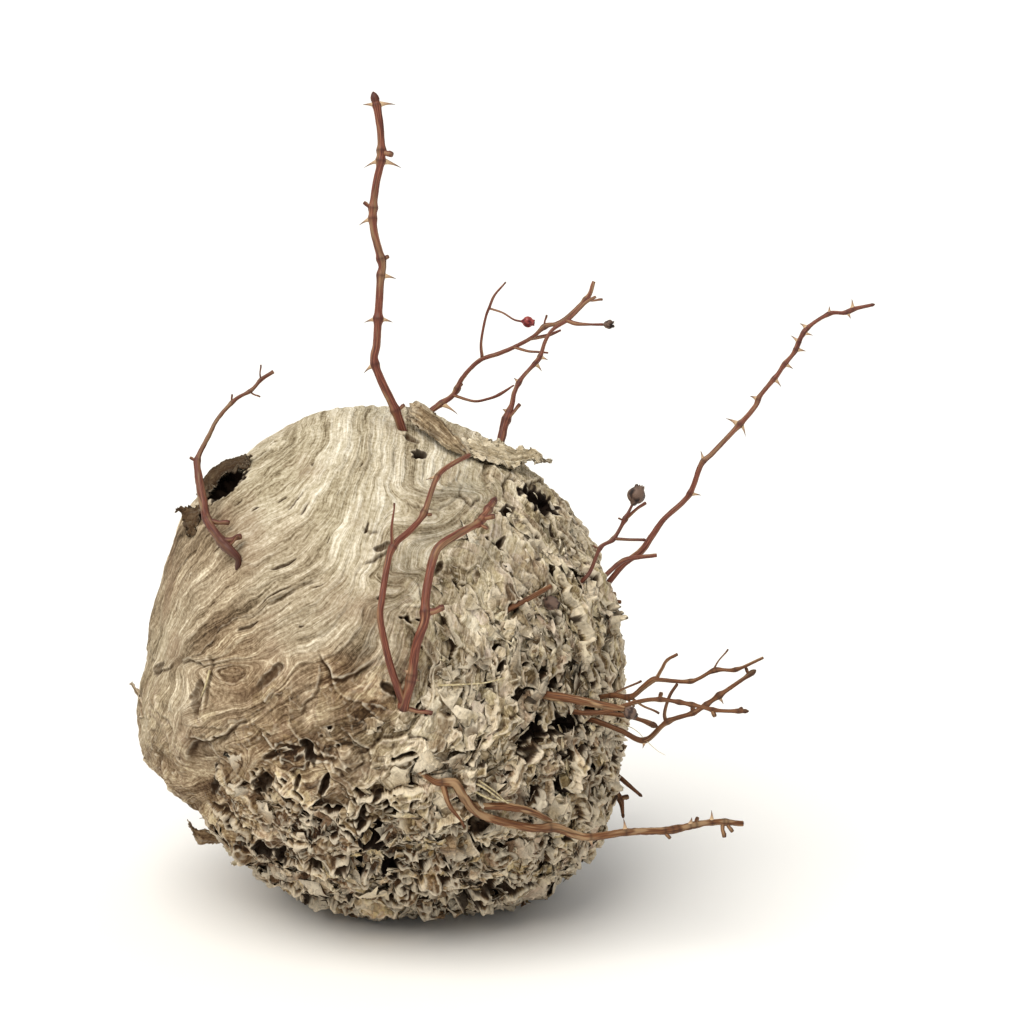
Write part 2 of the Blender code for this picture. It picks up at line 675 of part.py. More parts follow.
def build():
    for old in list(bpy.data.objects):
        bpy.data.objects.remove(old)

    paper = material("paper", (0.56, 0.50, 0.38), 0.95)
    red_bark = material("red_bark", (0.33, 0.13, 0.08), 0.55)
    brown_bark = material("brown_bark", (0.36, 0.19, 0.09), 0.7)
    red_skin = material("red_hip_skin", (0.30, 0.04, 0.05), 0.35)
    dry_skin = material("dry_hip_skin", (0.09, 0.06, 0.05), 0.6)

    hollows = []
    for shapes, bark, socket in (
        (RED_CANES, red_bark, True),
        (BROWN_CANES, brown_bark, True),
        (RED_FORKS, red_bark, False),
        (BROWN_FORKS, brown_bark, False),
    ):
        for name, shape in shapes.items():
            hollows.extend(cane(name, bark, shape, socket))

    for hips, skin in ((RED_HIPS, red_skin), (DRY_HIPS, dry_skin)):
        for name, (place, radius, stalk_way) in hips.items():
            object_of(hip_ball(place, radius, stalk_way), name, skin)
    place, radius, stalk_way = DRY_HIPS[HIP_IN_PAPER]
    hollows.append(guide_of(hip_ball(place, radius + 2 * SOCKET_GAP, stalk_way), "hip_socket", paper))

    nest = nest_body(paper)
    ledges = [guide_of(ledge(*shape), name, paper) for name, shape in LEDGES.items()]
    hollows.extend(guide_of(hole(*shape), name, paper) for name, shape in HOLES.items())
    hollows.append(guide_of(below_rest(), "below_rest", paper))
    combine(nest, ledges, "UNION")
    combine(nest, hollows, "DIFFERENCE")


build()
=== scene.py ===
"""The looks of a wasps' paper nest that was built round the canes of a wild rose.

The nest is one skin of chewed wood pulp, in long streaks at its upper left, with thousands of torn scales of
the same paper on its crumpled right side and underside, and single flaps, lips and hoods where the real one
has them. The canes carry hooked prickles, spurs, buds, cut ends and rose hips.

Places are in millimetres as the front shows them: right of, above and nearer than the nest's centre. The
front is looked at from a little above. World axes: +X right, -Y towards the viewer, +Z up, origin in the
middle of the flat that the nest rests on.
"""

import math
from functools import partial

import bpy
import numpy as np
from mathutils import Matrix

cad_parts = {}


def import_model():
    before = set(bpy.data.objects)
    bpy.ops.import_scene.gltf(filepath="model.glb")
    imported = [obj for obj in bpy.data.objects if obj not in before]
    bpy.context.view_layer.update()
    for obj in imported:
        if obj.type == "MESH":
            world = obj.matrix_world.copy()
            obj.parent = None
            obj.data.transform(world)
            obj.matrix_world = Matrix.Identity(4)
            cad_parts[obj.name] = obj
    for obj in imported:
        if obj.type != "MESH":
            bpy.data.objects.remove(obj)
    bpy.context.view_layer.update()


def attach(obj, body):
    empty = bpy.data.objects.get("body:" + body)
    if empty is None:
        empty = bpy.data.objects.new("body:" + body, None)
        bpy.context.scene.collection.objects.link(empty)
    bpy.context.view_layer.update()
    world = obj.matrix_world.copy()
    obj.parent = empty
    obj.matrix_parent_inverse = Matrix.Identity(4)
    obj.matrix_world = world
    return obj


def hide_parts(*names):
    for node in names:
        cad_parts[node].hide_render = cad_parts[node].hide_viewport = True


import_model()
bpy.ops.object.select_all(action="DESELECT")

MM = 0.001

# How the front is looked at
VIEW_TILT = math.radians(12)
VIEW_DISTANCE = 1600.0
VIEW_WIDTH = 614.4
SIGHT = np.array((80.0, 89.0))
RIGHT = np.array((1.0, 0.0, 0.0))
UP = np.array((0.0, math.sin(VIEW_TILT), math.cos(VIEW_TILT)))
NEAR = np.array((0.0, -math.cos(VIEW_TILT), math.sin(VIEW_TILT)))
NEST_CENTRE = np.array((-20.0, 0.0, 145.0))

# The nest's plain shape: the radius of its outline, from the right and anticlockwise, every 20 degrees
OUTLINE = np.array(
    (140.0, 139, 141, 146, 150, 153, 149, 145, 138, 139, 149, 138, 140, 146, 149, 162, 164, 148)
)
FRONT_RADIUS = 146.0
BACK_RADIUS = 141.0


def rows(text):
    """Rows of numbers, from text that has commas between the rows."""
    return [tuple(map(float, row.split())) for row in text.split(",") if row.strip()]


# Each cane's route is rows of right, up, near and radius, from inside the nest to its tip. After slashes come
# its thorns and its spurs, each the right and up of where it grows, its offset (right, up, near) and for some
# spurs a radius, and then the right and up of its knots.
RED_CANES = {
    "cane_top": """
        24 112 36 2.6, 15 136 54 2.6, 10 150 60 2.5, -2 177 62 2.35, -1 192 62 2.25, 1 228 60 2.25,
        2 238 60 2.25, -2.5 256 60 2.25, -3.5 269 60 2.25, -1.5 286 60 2.2, 1.3 300 60 2.15, 1.3 315 60 2.1,
        -0.6 330 60 2.3, -1.6 334.5 60 1.5 / -1 333 -8 0 0, 0 333 11 0 1, 1 300 -9.7 -4.2 1,
        1 300 11.9 -4.2 0, -4 265 -8 -4 0, 2 231 9 -2 1, 0 204.5 -8 -2 0, 0 204.5 8.5 -2 1, -2 177 -6.5 -5 0
        / 1.5 306 6 -2.6 2 1.5, -3 271 -5 3 0 1, 2 241 4 1.5 0, 9 149 5 3 0 0.9""",
    "cane_left": """
        -83 38 84 1.2, -85.5 50 104 1.4, -84 60 112 1.9, -89 66 112 2.7, -94.5 71.5 107 2.6,
        -102.5 83.5 97 2.4, -105.5 96.5 88 2.6, -108 110.5 80 2.3, -108.5 121 75 1.6, -101.5 135.5 70 1.25,
        -96.5 145 66 1.15, -86 156.5 62 1.05, -76.5 162 60 1, -70.5 168.5 58 0.95, -63.5 173 56 1.2 / /
        -102 84.5 12 -1.5 2 1.3, -95 71 11 2.5 3 1.5, -92 67 6 6 3 0.9, -71 168 0 8.5 0, -78 161 6 -3 0,
        -88 154.5 0 4.5 0, -108 120 -4 1.5 0""",
    "cane_front": """
        13 -46 118 2.7, 14 -31 140 2.7, 16 -24 147 2.7, 19.5 -11 151 2.6, 22.5 8.5 154 2.5,
        27.5 23.5 154 2.5, 28 34 152 2.45, 29.5 46.5 149 2.4, 33.5 63.5 143 2.35, 39 70.5 140 2.35,
        52.5 78.5 130 2.1, 60.5 83 122 1.8, 68 94 112 1.9 / 19 -8 -5 2 2, 19 -12 5 0 1 /
        27 29 9.5 2.5 1 1.6, 60 83 5 -3 2, 15 -28 15.5 -3.5 2 1.1, 66 91 3 4 0 1.2, 62 86 6 1 3 1.3""",
    "cane_front_fork": """
        15 -27 145 2, 11.5 -17 151 2.1, 6 0.5 155 1.95, 1 24.5 156 1.85, 2 37 154 1.8, 5.5 59 147 1.8,
        9.5 69.5 143 1.8, 19.5 78.5 136 1.7, 27 88 128 1.65, 32 102.5 117 1.5, 36.5 112 108 1.45,
        44.5 118 99 1.35, 54 123 89 1.3 / 35 110 -7 -2 2 / 27 88 4 -1 0, 9 68 1 24 2""",
    "cane_back": """
        10 124 -24 2.2, 22 138 -26 2.3, 32 150 -28 1.9, 44.5 159 -30 1.65, 50 169 -30 1.45, 56 176 -30 1.35,
        62.5 181 -30 1.4, 72 184 -30 1.35, 81.5 188 -30 1.25, 92.5 194 -30 1.2, 100 200.5 -30 1.3,
        107 202 -31 1.4, 114 206.5 -31 1.45, 125.5 218 -32 1.5, 129 227 -32 1.15 / 38 154 10 -7 4 /
        124 217 10 0 2, 100 200 1.5 7 0, 47 163 3 3 0""",
    "cane_back_second": """
        66 112 6 2.5, 73 131 2 2.6, 75.5 141.5 -1 2.5, 80 153.5 -4 1.6, 81.5 161 -5 1.4, 86 169.5 -7 1.25,
        95 179.5 -9 1.15, 97.5 184 -10 1.25, 100 191.5 -11 1.15, 104.5 198.5 -12 1.1, 114.5 205 -14 1.1,
        124 214.5 -15 1.1, 130 218 -16 0.9 / 78 149 -4 2 0, 96 182 5 -2 1, 94 178 4 -5 0, 84 167 -3 3 0 /
        77 144 8 9 1""",
    "cane_right": """
        118 30 -14 1.9, 127 36 -12 1.9, 136 44.5 -10 1.8, 147 57.5 -8 1.7, 157.5 65.5 -6 2.2,
        164 74.5 -5 1.9, 171.5 85 -4 1.65, 186 99 -2 1.6, 193.5 117.5 0 1.6, 200 124 1 1.5, 217 142 3 1.6,
        226 152.5 4 1.5, 229 159 5 1.4, 239 171 6 1.35, 243 177 6 1.35, 249.5 185 7 1.3, 253.5 194 8 1.3,
        258.5 200.5 8 1.2, 270.5 208 9 1.15, 279.5 208.5 10 1.1, 286 211 10 1.2, 295 213 11 1 /
        216 141 -8 4 0, 217 142 3 -8 1, 187 100 7 -1 0, 196 119 -2 6 1, 228 157 -5 2 0, 238 169 4 -5 1,
        244 178 5 -3 0, 252 191 -5 4 0, 255 196 5.5 -1.5 1, 257 199 -4.5 3 0, 250 187 6 -1 0,
        270 208 0 4.5 1, 284 210 -0.5 6.5 0, 281 209 2 -4 1""",
    "stub_right": """
        120 42 12 1.5, 132 47.5 10 1.5, 141.5 56 7 1.45, 148 60.5 5 1.4, 157.5 62 4 1.3, 166.5 63 3 1.15""",
    "twig_right": """
        110 36 48 1.3, 121.5 47 61 1.2, 127 53.5 62 1.15, 133 67.5 60 1.05, 141 73 58 1.15, 148 85 56 1.05,
        152 93 54.9 0.8 / / 133 67 -4 1.5 0, 147 84 -3.5 1 0 / 141 73, 148.5 85""",
    "twig_back_up": """
        62 182 -30 1.1, 61.5 191 -30 0.85, 64 205 -29 0.8, 66.5 212 -28 0.9, 69.5 219 -28 0.8,
        75.5 226 -27 0.55""",
    "hip_stalk_red": "67 211 -28 0.7, 74.5 208.5 -25 0.6, 81 204.5 -22 0.6, 85.9 203.3 -20.4 0.7",
    "twig_back_low": """
        45 159 -29 1, 57 155.5 -26 0.8, 66 157 -24 0.8, 72.5 159.5 -23 1.1, 81 165 -21 0.5""",
    "twig_back_cross": "91 193 -31 1.2, 97 194 -35 1.2, 103 195.5 -38 1.1, 109 198 -40 0.7",
    "twig_back_thin": "81 188 -29 1, 89.5 185.5 -25 0.8, 96 185 -24 0.7, 101.5 184.5 -24 0.6",
    "twig_calyx": "113 204 -13 1.4, 118.5 202 -10 1.3, 127.5 201.5 -8 0.7, 134.3 201.5 -7 0.9",
    "twig_right_fork": "148.5 85 57 1, 155 91 62 0.9, 160 94.3 64 1",
    "twig_right_side": "141 73 58 1, 149 72.5 61 0.9, 158 72.3 63 0.9",
}
BROWN_CANES = {
    "stub_side": "122 37 2 1.2, 135 35.5 0 1.2, 145 35 0 1.2 / / 141 35.2 -0.5 5 0 1.5",
    "bundle_cane": """
        84 -12 86 2.4, 98 -20 106 2.5, 115 -23 112 2.4, 135 -27 114 2.1, 147 -29 115 1.6""",
    "bundle_upper": """
        116 -19 48 1.3, 129 -22 64 1.4, 141 -21 76 1.35, 151 -22 83 1.4, 159 -16 88 1.6, 165 -11.5 91 1.9,
        168 -11.6 92 1.2, 187.5 -12.5 97 1.1, 201.5 -6 101 1, 214.5 -5.5 105 0.95, 230.5 1.5 109 0.8 / /
        140 -21 17 8 -2, 151 -22 16 -9 3, 201 -6.5 8.5 12 0, 149 -23 4 -5 2 / 187 -12.5, 203 -6, 214.5 -5.5""",
    "bundle_middle": """
        102 -26 82 1.5, 118 -31 94 1.5, 135 -31 99 1.4, 155 -25 103 1.3, 169 -23.5 106 1.15,
        187.5 -26.5 109 1.1, 202.5 -30 112 1.05, 218.5 -30.5 114 1.05 / / 201 -29.5 1 -3.4 1 1,
        169 -23.5 0.5 3.6 0 1, 216 -30.5 2 1.5 0 0.9 / 187.5 -26.5, 180 -25""",
    "bundle_lower": """
        117 -34 58 1.6, 129 -36 74 1.6, 145 -42 82 1.5, 159.5 -48 88 1.55, 173 -37 93 1.4, 189.5 -31 97 1.3,
        204.5 -21 100 1.3, 222.5 -8.5 104 1.05 / 204 -21 3 -4.5 0, 159 -48 -1 -4.5 1 /
        189 -30.5 -0.5 3.5 0 1.1, 222 -8.5 -2 3.5 0 0.8 / 204.5 -21, 173 -37, 196 -26""",
    "bundle_short": """
        114 -30 66 1.2, 128 -31 76 1.3, 147 -33 88 1.3, 158 -36 93 1.2, 163 -38 95 1.7""",
    "cane_low": """
        12 -58 110 1, 23 -65.5 136 1.3, 34 -73 139 1.8, 45 -73.5 139 2.6, 50.5 -81 137 2.5,
        58 -90.5 129 2.3, 71 -96 124 2.3, 92 -100.5 114 2.3, 106.5 -100.5 107 2.6, 117.5 -104.5 102 2.3,
        127.5 -106 98 2.1, 150 -103 90 2, 174 -102 82 1.95, 191 -98.5 77 1.8, 204 -97 73 1.7, 218 -98 68 1.6
        / 127 -106 1.5 -6 0, 148 -103 -1 8 1, 200 -97 0 7 0, 186 -99 1 5 1 / 38 -74 12 -24 3 1.3,
        207 -97 0.5 -8 2 1.1, 172 -102 3 -4 1, 209 -98 3 -5 1 1, 190 -98.5 1 4 0 0.9 / 102 -100, 176 -102,
        180 -101""",
    "strip_low": """
        38 -76 112 1.4, 50 -83 124 1.6, 60 -87 127 1.9, 78 -88 124 2.2, 92 -91 116 2, 103 -96.5 107 1.4""",
    "stub_back": "130 -60 -10 1.4, 143 -69 -6 1.6, 149 -74 -4 1.4, 156 -80 -3 1",
    "stub_back_fork": """
        144 -69.5 -6 1.6, 142 -76 -7 1.7, 145.5 -85 -6 1.6, 146.5 -92 -5 1 / / 144.5 -83 4.5 1.5 0 1.3""",
    "twig_front": "68 22 106 1.5, 77 30 120 1.6, 90 37 117 1.5, 103 44.5 110 1.4",
    "bundle_upper_twig": "166 -12 91 1.2, 170 -5 92 1, 173 0 93 1, 179 3.6 94 0.9",
    "bundle_lower_twig": "173 -38 93 1.4, 171.5 -32 89 1, 174.5 -21.5 84 0.95, 179 -14.5 80 0.9",
}


# Numbers that vary over space -------------------------------------------------------------------------

LATTICE = 64
SLOPES = np.random.default_rng(11).normal(size=(LATTICE, LATTICE, LATTICE, 3))
SLOPES /= np.linalg.norm(SLOPES, axis=3, keepdims=True)
JITTER = np.random.default_rng(12).random((LATTICE, LATTICE, LATTICE, 4))


def ramp(value, low, high):
    share = np.clip((value - low) / (high - low), 0.0, 1.0)
    return share * share * (3 - 2 * share)


def unit(vectors):
    return vectors / np.maximum(np.linalg.norm(vectors, axis=-1, keepdims=True), 1e-9)


def ripple(places, size, layer=0):
    """Smooth noise of about -1 to 1, with lumps of that size. Another layer is another pattern."""
    spots = np.atleast_2d(places) / size + layer * 7.31
    cell = np.floor(spots).astype(int)
    share = spots - cell
    fade = share ** 3 * (share * (share * 6 - 15) + 10)
    total = np.zeros(len(spots))
    for corner in np.ndindex(2, 2, 2):
        slope = SLOPES[tuple(((cell + corner) % LATTICE).T)]
        weight = np.where(corner, fade, 1 - fade).prod(axis=1)
        total += weight * ((share - corner) * slope).sum(axis=1)
    return total * 1.5


def ripples(places, *layers):
    """Smooth noise in several layers, each of (height, size, layer)."""
    return sum(height * ripple(places, size, layer) for height, size, layer in layers)


def drift(places, size, layer):
    """At each place, a way to drift in that changes smoothly, about 1 long."""
    return np.stack([ripple(places, size, layer + axis) for axis in range(3)], axis=1)


def folds(places, size, layer=0):
    """Sharp ridges, 1 on a ridge and down to about -1 between them."""
    return 1 - 2 * np.abs(ripple(places, size, layer))


def plates(places, size, layer=0):
    """Scraps of that size, each tilted its own way: how far out a place in one lies, and the scrap's number."""
    spots = np.atleast_2d(places) / size + layer * 5.17
    home = np.floor(spots).astype(int)
    nearest = np.full(len(spots), 9.0)
    number, out = np.zeros((2, len(spots)))
    for step in np.ndindex(3, 3, 3):
        cell = home + np.array(step) - 1
        index = tuple((cell % LATTICE).T)
        gap = cell + JITTER[index][:, :3] - spots
        distance = np.linalg.norm(gap, axis=1)
        closer = distance < nearest
        nearest = np.where(closer, distance, nearest)
        number = np.where(closer, JITTER[index][:, 3], number)
        out = np.where(closer, 2 * (gap * SLOPES[index]).sum(axis=1), out)
    return out, number


# Places -----------------------------------------------------------------------------------------------


def world(places):
    """World points, in metres, of places that are right of, above and nearer than the nest's centre."""
    places = np.asarray(places, float)
    return (NEST_CENTRE + places[..., :1] * RIGHT + places[..., 1:2] * UP + places[..., 2:3] * NEAR) * MM


def unshifted(shown):
    """Where a place really is, from (right, up, near) as the front shows it."""
    shown = np.asarray(shown, float)
    shrink = 1 - shown[..., 2:3] / VIEW_DISTANCE
    return np.concatenate((SIGHT + (shown[..., :2] - SIGHT) * shrink, shown[..., 2:3]), axis=-1)


def shown(places):
    """How far right and up the front shows places."""
    return SIGHT + (places[:, :2] - SIGHT) / (1 - places[:, 2:3] / VIEW_DISTANCE)


def curved(before, start, end, after, share):
    """That share of the way from start to end, on a smooth curve that also goes through before and after."""
    bend = 2 * before - 5 * start + 4 * end - after
    sway = 3 * (start - end) + after - before
    return start + 0.5 * share * (end - before + share * (bend + share * sway))


def through(knots, count):
    """Points of a smooth line through knots, along their first axis."""
    knots = np.concatenate((2 * knots[:1] - knots[1:2], knots, 2 * knots[-1:] - knots[-2:-1]))
    place = np.linspace(0, len(knots) - 3, count)
    index = np.minimum(place.astype(int), len(knots) - 4)
    share = (place - index).reshape(-1, *[1] * (knots.ndim - 1))
    return curved(*(knots[index + step] for step in range(4)), share)


def plain_radius(ways):
    """The radius of the nest's plain shape, in unit directions."""
    place = np.arctan2(ways[:, 1], ways[:, 0]) / (2 * np.pi) * len(OUTLINE) % len(OUTLINE)
    index = place.astype(int)
    outline = curved(*(OUTLINE[(index + step) % len(OUTLINE)] for step in (-1, 0, 1, 2)), place - index)
    pole = np.where(ways[:, 2] > 0, FRONT_RADIUS, BACK_RADIUS)
    return outline + (pole - outline) * ways[:, 2] ** 2


def on_plain(right, up):
    """The place on the nest's plain shape that the front shows there."""
    near = FRONT_RADIUS
    for _ in range(12):
        place = unshifted((right, up, near))
        radius = plain_radius(unit(place)[None])[0]
        near = math.sqrt(max(radius ** 2 - place[0] ** 2 - place[1] ** 2, 0.0))
    return unshifted((right, up, near))


# The paper's lie --------------------------------------------------------------------------------------

# What the paper is like at some places: right, up, how crumpled, how full of pits and how darkened, 0 to 1.
# The last moves its colour towards a darker, browner ramp.
PAPER = rows("""
    -60 110 0 0 0, -20 130 0.05 0 0, -100 60 0.1 0 0.8, -130 10 0.15 0 0.5, -60 60 0 0 0.45,
    -40 20 0.02 0 0.5, -90 0 0.1 0 0.95, -10 90 0.05 0 0, 0 60 0.15 0.02 0.1, 10 110 0.1 0.02 0.05,
    -5 20 0.18 0.02 0.45, 30 80 0.15 0.02 0.05, 50 110 0.2 0.03 0.05, 75 105 0.38 0.12 0.05,
    100 80 0.55 0.25 0.05, 60 60 0.45 0.25 0, 30 30 0.42 0.2 0.05, 60 20 0.6 0.35 0, 100 30 0.85 0.5 0,
    130 10 0.95 0.6 0.05, 100 -20 1 0.8 0.5, 130 -60 1 0.85 0.85, 90 -60 1 0.65 0.65, 60 -30 0.7 0.35 0.1,
    30 -30 0.5 0.3 0.1, 0 -20 0.42 0.15 1, -25 -10 0.3 0.08 1, -50 -20 0.25 0.03 0.8,
    -110 -40 0.3 0.05 0.75, -140 -30 0.3 0.05 0.5, -110 -75 0.35 0.15 1, -70 -65 0.45 0.35 1,
    -30 -60 0.45 0.25 1, 0 -60 0.4 0.15 0.4, 30 -70 0.7 0.45 0.5, 60 -90 1 0.8 0.7, 100 -100 1 0.75 0.65,
    0 -105 1 0.85 1, 40 -130 1 0.8 1, -40 -110 0.75 0.6 1, -80 -100 0.6 0.35 1, -20 -140 1 0.6 1,
    118 -72 1 0.4 0.2, 75 -10 0.75 0.4 0.05, -4 -85 0.6 0.45 0.6""")

# Where the streaks run in arcs round a middle: right, up, reach
ARCS = rows("-89.4 4 34, 33 108 34, -106 -50 30, 8 56 22")

# A torn hole: right, up, half length, half width, angle of its length in degrees, depth
HOLES = rows("""
    94.5 94.5 13 4.8 -38 17, 24.5 125.4 4.6 2.6 8 9, 20 134.5 5 1.8 -25 4, 4 68 7 2.2 18 3.5,
    -66 -10 13 3 43 3.5, -99 -71 9 3.2 82 7, -43 -53 8 3.2 -60 9, -32 -73 7 2.2 62 8, -47 -72 3.5 1.4 85 6,
    -69 -74 7 4.5 60 8, -3 -101 8 6 10 13, 92 -38 10 6 75 15, 112 -36 8 7 20 14, 36 55.5 4.5 1.6 65 4.5,
    76 88 4.5 3.2 20 8, 72 70 3 1.8 70 7, 93 62 4 2.4 60 8, 108 53 4 2.6 80 8, 71 -5 4 2 60 8,
    114 -37 6 6 0 12, 71 -71 4 3 70 10, 79 -107 4 3 30 10, -12 -119 5 3.4 -60 12, 7 -122 5 4 20 12,
    50 -116 5 3 -30 12, 49 -135 5 3 10 10, 41 -137 4 3 60 10, -68 -112 5 3.4 -30 10, -58 -116 4 3 -40 10,
    -48 -110 4 2.6 20 8, -41 -137 4 3 0 10, -14 -137 6 3 30 10, -61 -55.5 6 2.2 15 5,
    -131 -5 4.5 2.2 65 3.5, -107 -21 9 2.6 86 3.5, -91 105 14 4.6 42 14, 7 -17 6 3 -30 5, 103 -75 5 4 40 12,
    122 -62 5 4 60 12, 60 -58 4 3 20 9, 85 -20 5 3 70 10""")

# A slit along the streaks: right, up, half length, half width
SLITS = rows("""
    -57.6 96.6 3.5 0.8, -74.4 91 3 0.7, -50 95 7 0.5, -44 91 5 0.6, -58 57 9 0.8, -79 20 7 1.3,
    -47 20.5 2 0.7, -10.5 119 2.5 0.9, -7 78 4 1.6, -62 40 11 0.5, -96 66 3 0.6, -84 94 3 0.5,
    -40 118 2 0.6, -24 100 2 0.5, -36 45 4 0.4, -100 34 3 0.6, -30 72 2.5 0.4""")

# A lip is the edge of a sheet that lies over the next one: the edge's points (right, up), with the sheet on
# the left of the way they run, and last how high the edge stands, how far back it slopes, and how deep and
# wide the drop beside it is
LIPS = """
    -38.4 8.4, -32.4 -1.2, -27 -10.2, -19.8 -10.2, -14.4 -7.8, -7.2 -2.4, 1.8 4.2, 2.5 9 4 3 /
    -120 -37.2, -106.8 -39, -91.2 -39.6, -82.8 -34.8, 1 3 1.6 1.1 /
    -117.6 -45, -106.8 -46.8, -97.8 -46.8, -87.6 -41.4, -78 -33.6, 2.6 4 4 2.6 /
    -118.2 -2.4, -112.8 1.2, -107.4 -0.6, -102.6 -4.2, 2.2 8 2.6 2.2 /
    -102.6 -33.6, -103.8 -24, -103.2 -14.4, -100.8 -4.8, -102.6 9, 1.8 4 2.6 2 /
    -48 -36, -45 -27, -37.2 -18, -33.6 -4.8, 1.4 8 2.4 2.2 /
    -115.8 -64.8, -114.6 -55.2, -111 -49.2, -104.4 -47.4, -99 -50.4, -96 -58.2, -96.6 -69, -100.2 -81,
        1.6 5 6 5 /
    -99.6 -49.2, -93.6 -57.6, -87.6 -61.8, -81 -64.8, 2.4 2.4 3 2 /
    -84 -79.2, -79.2 -70.8, -73.2 -71.4, -69 -64.8, -64.2 -67.8, 3 9 5 2.8 /
    -63 -55.2, -59.4 -50.4, -54 -49.8, -51 -54, 1.6 5 3 2 /
    -39.6 -45, -33.6 -57, -27.6 -69.6, -19.8 -75, -15.6 -84, -7.2 -91.2, 2 3 1.6 1.6 /
    -26.4 -51, -21 -61.2, -15.6 -66, -9.6 -61.2, -11.4 -51.6, 1.8 5 2.4 1.8 /
    -6.6 -51, -4.2 -60, -6 -69.6, -10.8 -74.4, 1.6 4 2.2 1.6 /
    3.6 -57.6, 3 -67.2, -0.6 -74.4, 1.4 4 2.2 1.6 /
    11.4 -46.8, 7.8 -55.2, 12 -62.4, 19.2 -66, 1.2 4 2 1.4 /
    -46.8 -45, -40.8 -49.2, -39.6 -57.6, -42 -66, 1.6 5 3.5 2.2 /
    -61.8 -64.8, -57 -75, -51.6 -82.2, -49.2 -91.2, 2.4 2.2 3 2 /
    -28.8 -84, -19.8 -87, -10.8 -97.2, -18 -105.6, 1.8 5 2.6 2 /
    -3.6 -93, 6 -102, 14.4 -109.2, 10.8 -118.8, 2 3 3 2.4 /
    -103.8 -84, -91.8 -87.6, -84 -94.8, -79.2 -103.2, 1.8 6 3 2.2 /
    -136.8 -18, -132 -27.6, -126 -34.8, -121.2 -45, 1.4 7 1.6 2.2 /
    -135.6 2.4, -133.8 -7.2, -127.2 -5.4, -120 -0.6, 1.4 6 3 2.2 /
    -34.8 -118.8, -25.8 -124.8, -15.6 -123.6, -6 -118.8, 1.6 4 3 2 /
    -87.6 -111, -73.8 -117.6, -58.8 -124.8, -43.2 -134.4, 1.8 6 3.4 2.4 /
    -76.8 -102, -61.8 -109.2, -46.8 -114, -36 -111.6, 1.6 6 3.2 2.2 /
    12 98.4, 22.2 93, 36 91.2, 46.2 97.2, 54 109.2, 1.2 6 1.6 1.6 /
    15.6 108, 25.2 102, 37.2 102, 46.2 109.2, 52.8 117.6, 0.8 6 1 1.4 /
    52.2 108, 49.2 100.8, 55.2 94.8, 63.6 99.6, 1.8 4 2.4 1.8 /
    82.8 96, 87.6 104.4, 94.8 106.8, 102 102, 106.8 94.2, 106.8 84, 2.6 5 3 2 /
    75 97.2, 73.2 104.4, 75.6 109.2, 82.8 108, 1.6 4 3 1.8 /
    55.2 124.8, 62.4 121.2, 70.8 118.8, 78 117.6, 1.6 4 2.4 1.8 /
    -10.8 58.2, -3.6 60, 3.6 64.8, 9.6 72, 1.6 7 3 2.6 /
    -9 79.8, -4.8 76.2, 1.2 77.4, 1.2 5 2.6 2 /
    -69.6 31.8, -58.8 37.2, -48.6 45.6, -36 49.2, 1.2 8 1.8 2"""

# A bulge or hollow: right, up, half length, half width, angle of its length in degrees, height
BULGES = rows("""
    103.5 34.5 6.5 6.5 0 -3.5, -74.4 -57.6 10.8 7.2 20 3, -106.8 -66 9.6 15.6 0 -3.5, -39.6 -72 6 6.6 0 3,
    -19.2 -58.2 7.8 6.6 0 2, -111.6 12 9.6 8.4 0 2, -89.4 -18 10.8 18 0 -2, 31.2 114 18 15.6 0 -1.5,
    -112.8 -24 5.4 19.2 -5 1.6, -15.6 12 20.4 10.8 20 2""")


def warped(places, size, reach, layer):
    """Places moved about by smooth noise, so that what is drawn on them isn't regular."""
    return places + reach * drift(places, size, layer)


def drawn_round(places, share=0.45):
    """Places with the way round the nest shortened, so that what is made of them is long that way."""
    slant = np.arccos(np.clip(places[:, 2] / np.linalg.norm(places, axis=1), -1, 1))
    share = share + (0.9 - share) * ramp(-places[:, 1], 0, 80)
    return np.stack((share * places[:, 0], share * places[:, 1], FRONT_RADIUS * slant), axis=1)


def paper_at(places):
    """How crumpled the paper is, how full of pits and how darkened its colour is, each 0 to 1."""
    front = shown(places)
    totals, weights = np.zeros((3, len(places))), np.zeros(len(places))
    for right, up, *levels in PAPER:
        weight = 1 / (((front - (right, up)) ** 2).sum(axis=1) + 90) ** 2
        totals += weight * np.array(levels)[:, None]
        weights += weight
    crumple, pits, darker_tone = totals / weights
    patchy = ripple(places, 30, 3)
    return np.clip(crumple + 0.1 * patchy, 0, 1), np.clip(pits, 0, 1), np.clip(darker_tone + 0.15 * patchy, 0, 1)


def flow_at(places, crumple):
    """How far up across the streaks a place is, in millimetres. They rise to the right."""
    right, up = shown(places).T
    bend = (right + 16 + 0.33 * (up - 60)) / 15
    flow = up - 0.38 * right + 80 * np.exp(-(right + 140) / 20) - 30 * np.log1p(np.exp(bend))
    flow += ripples(places, (3.6, 26, 1), (1.9, 9, 2)) + crumple * ripples(places, (13, 30, 4), (6, 9, 5))
    for middle_right, middle_up, reach in ARCS:
        gap = np.hypot(right - middle_right, up - middle_up)
        share = np.exp(-((gap / reach) ** 6)) * (places[:, 2] > 0) * ramp(up - middle_up, 0.0, -0.35 * reach)
        flow += share * (1.2 * gap + 1.5 * ripple(places, 7, 6) - flow)
    return flow


def strips_at(places, crumple, flow):
    """The steps from one strip of paper to the next: the strip's height, in millimetres, and its number."""
    place = flow / 15 + ripples(places, (0.9, 50, 12), (0.2, 12, 18))
    number = np.floor(place)
    step = place - number
    height = 0.25 + 2.0 * np.clip(0.3 + ripple(places, 34, 45), 0, 1)
    return height * (0.5 - step) * ramp(step, 0.0, 0.06) * (1 - crumple), number


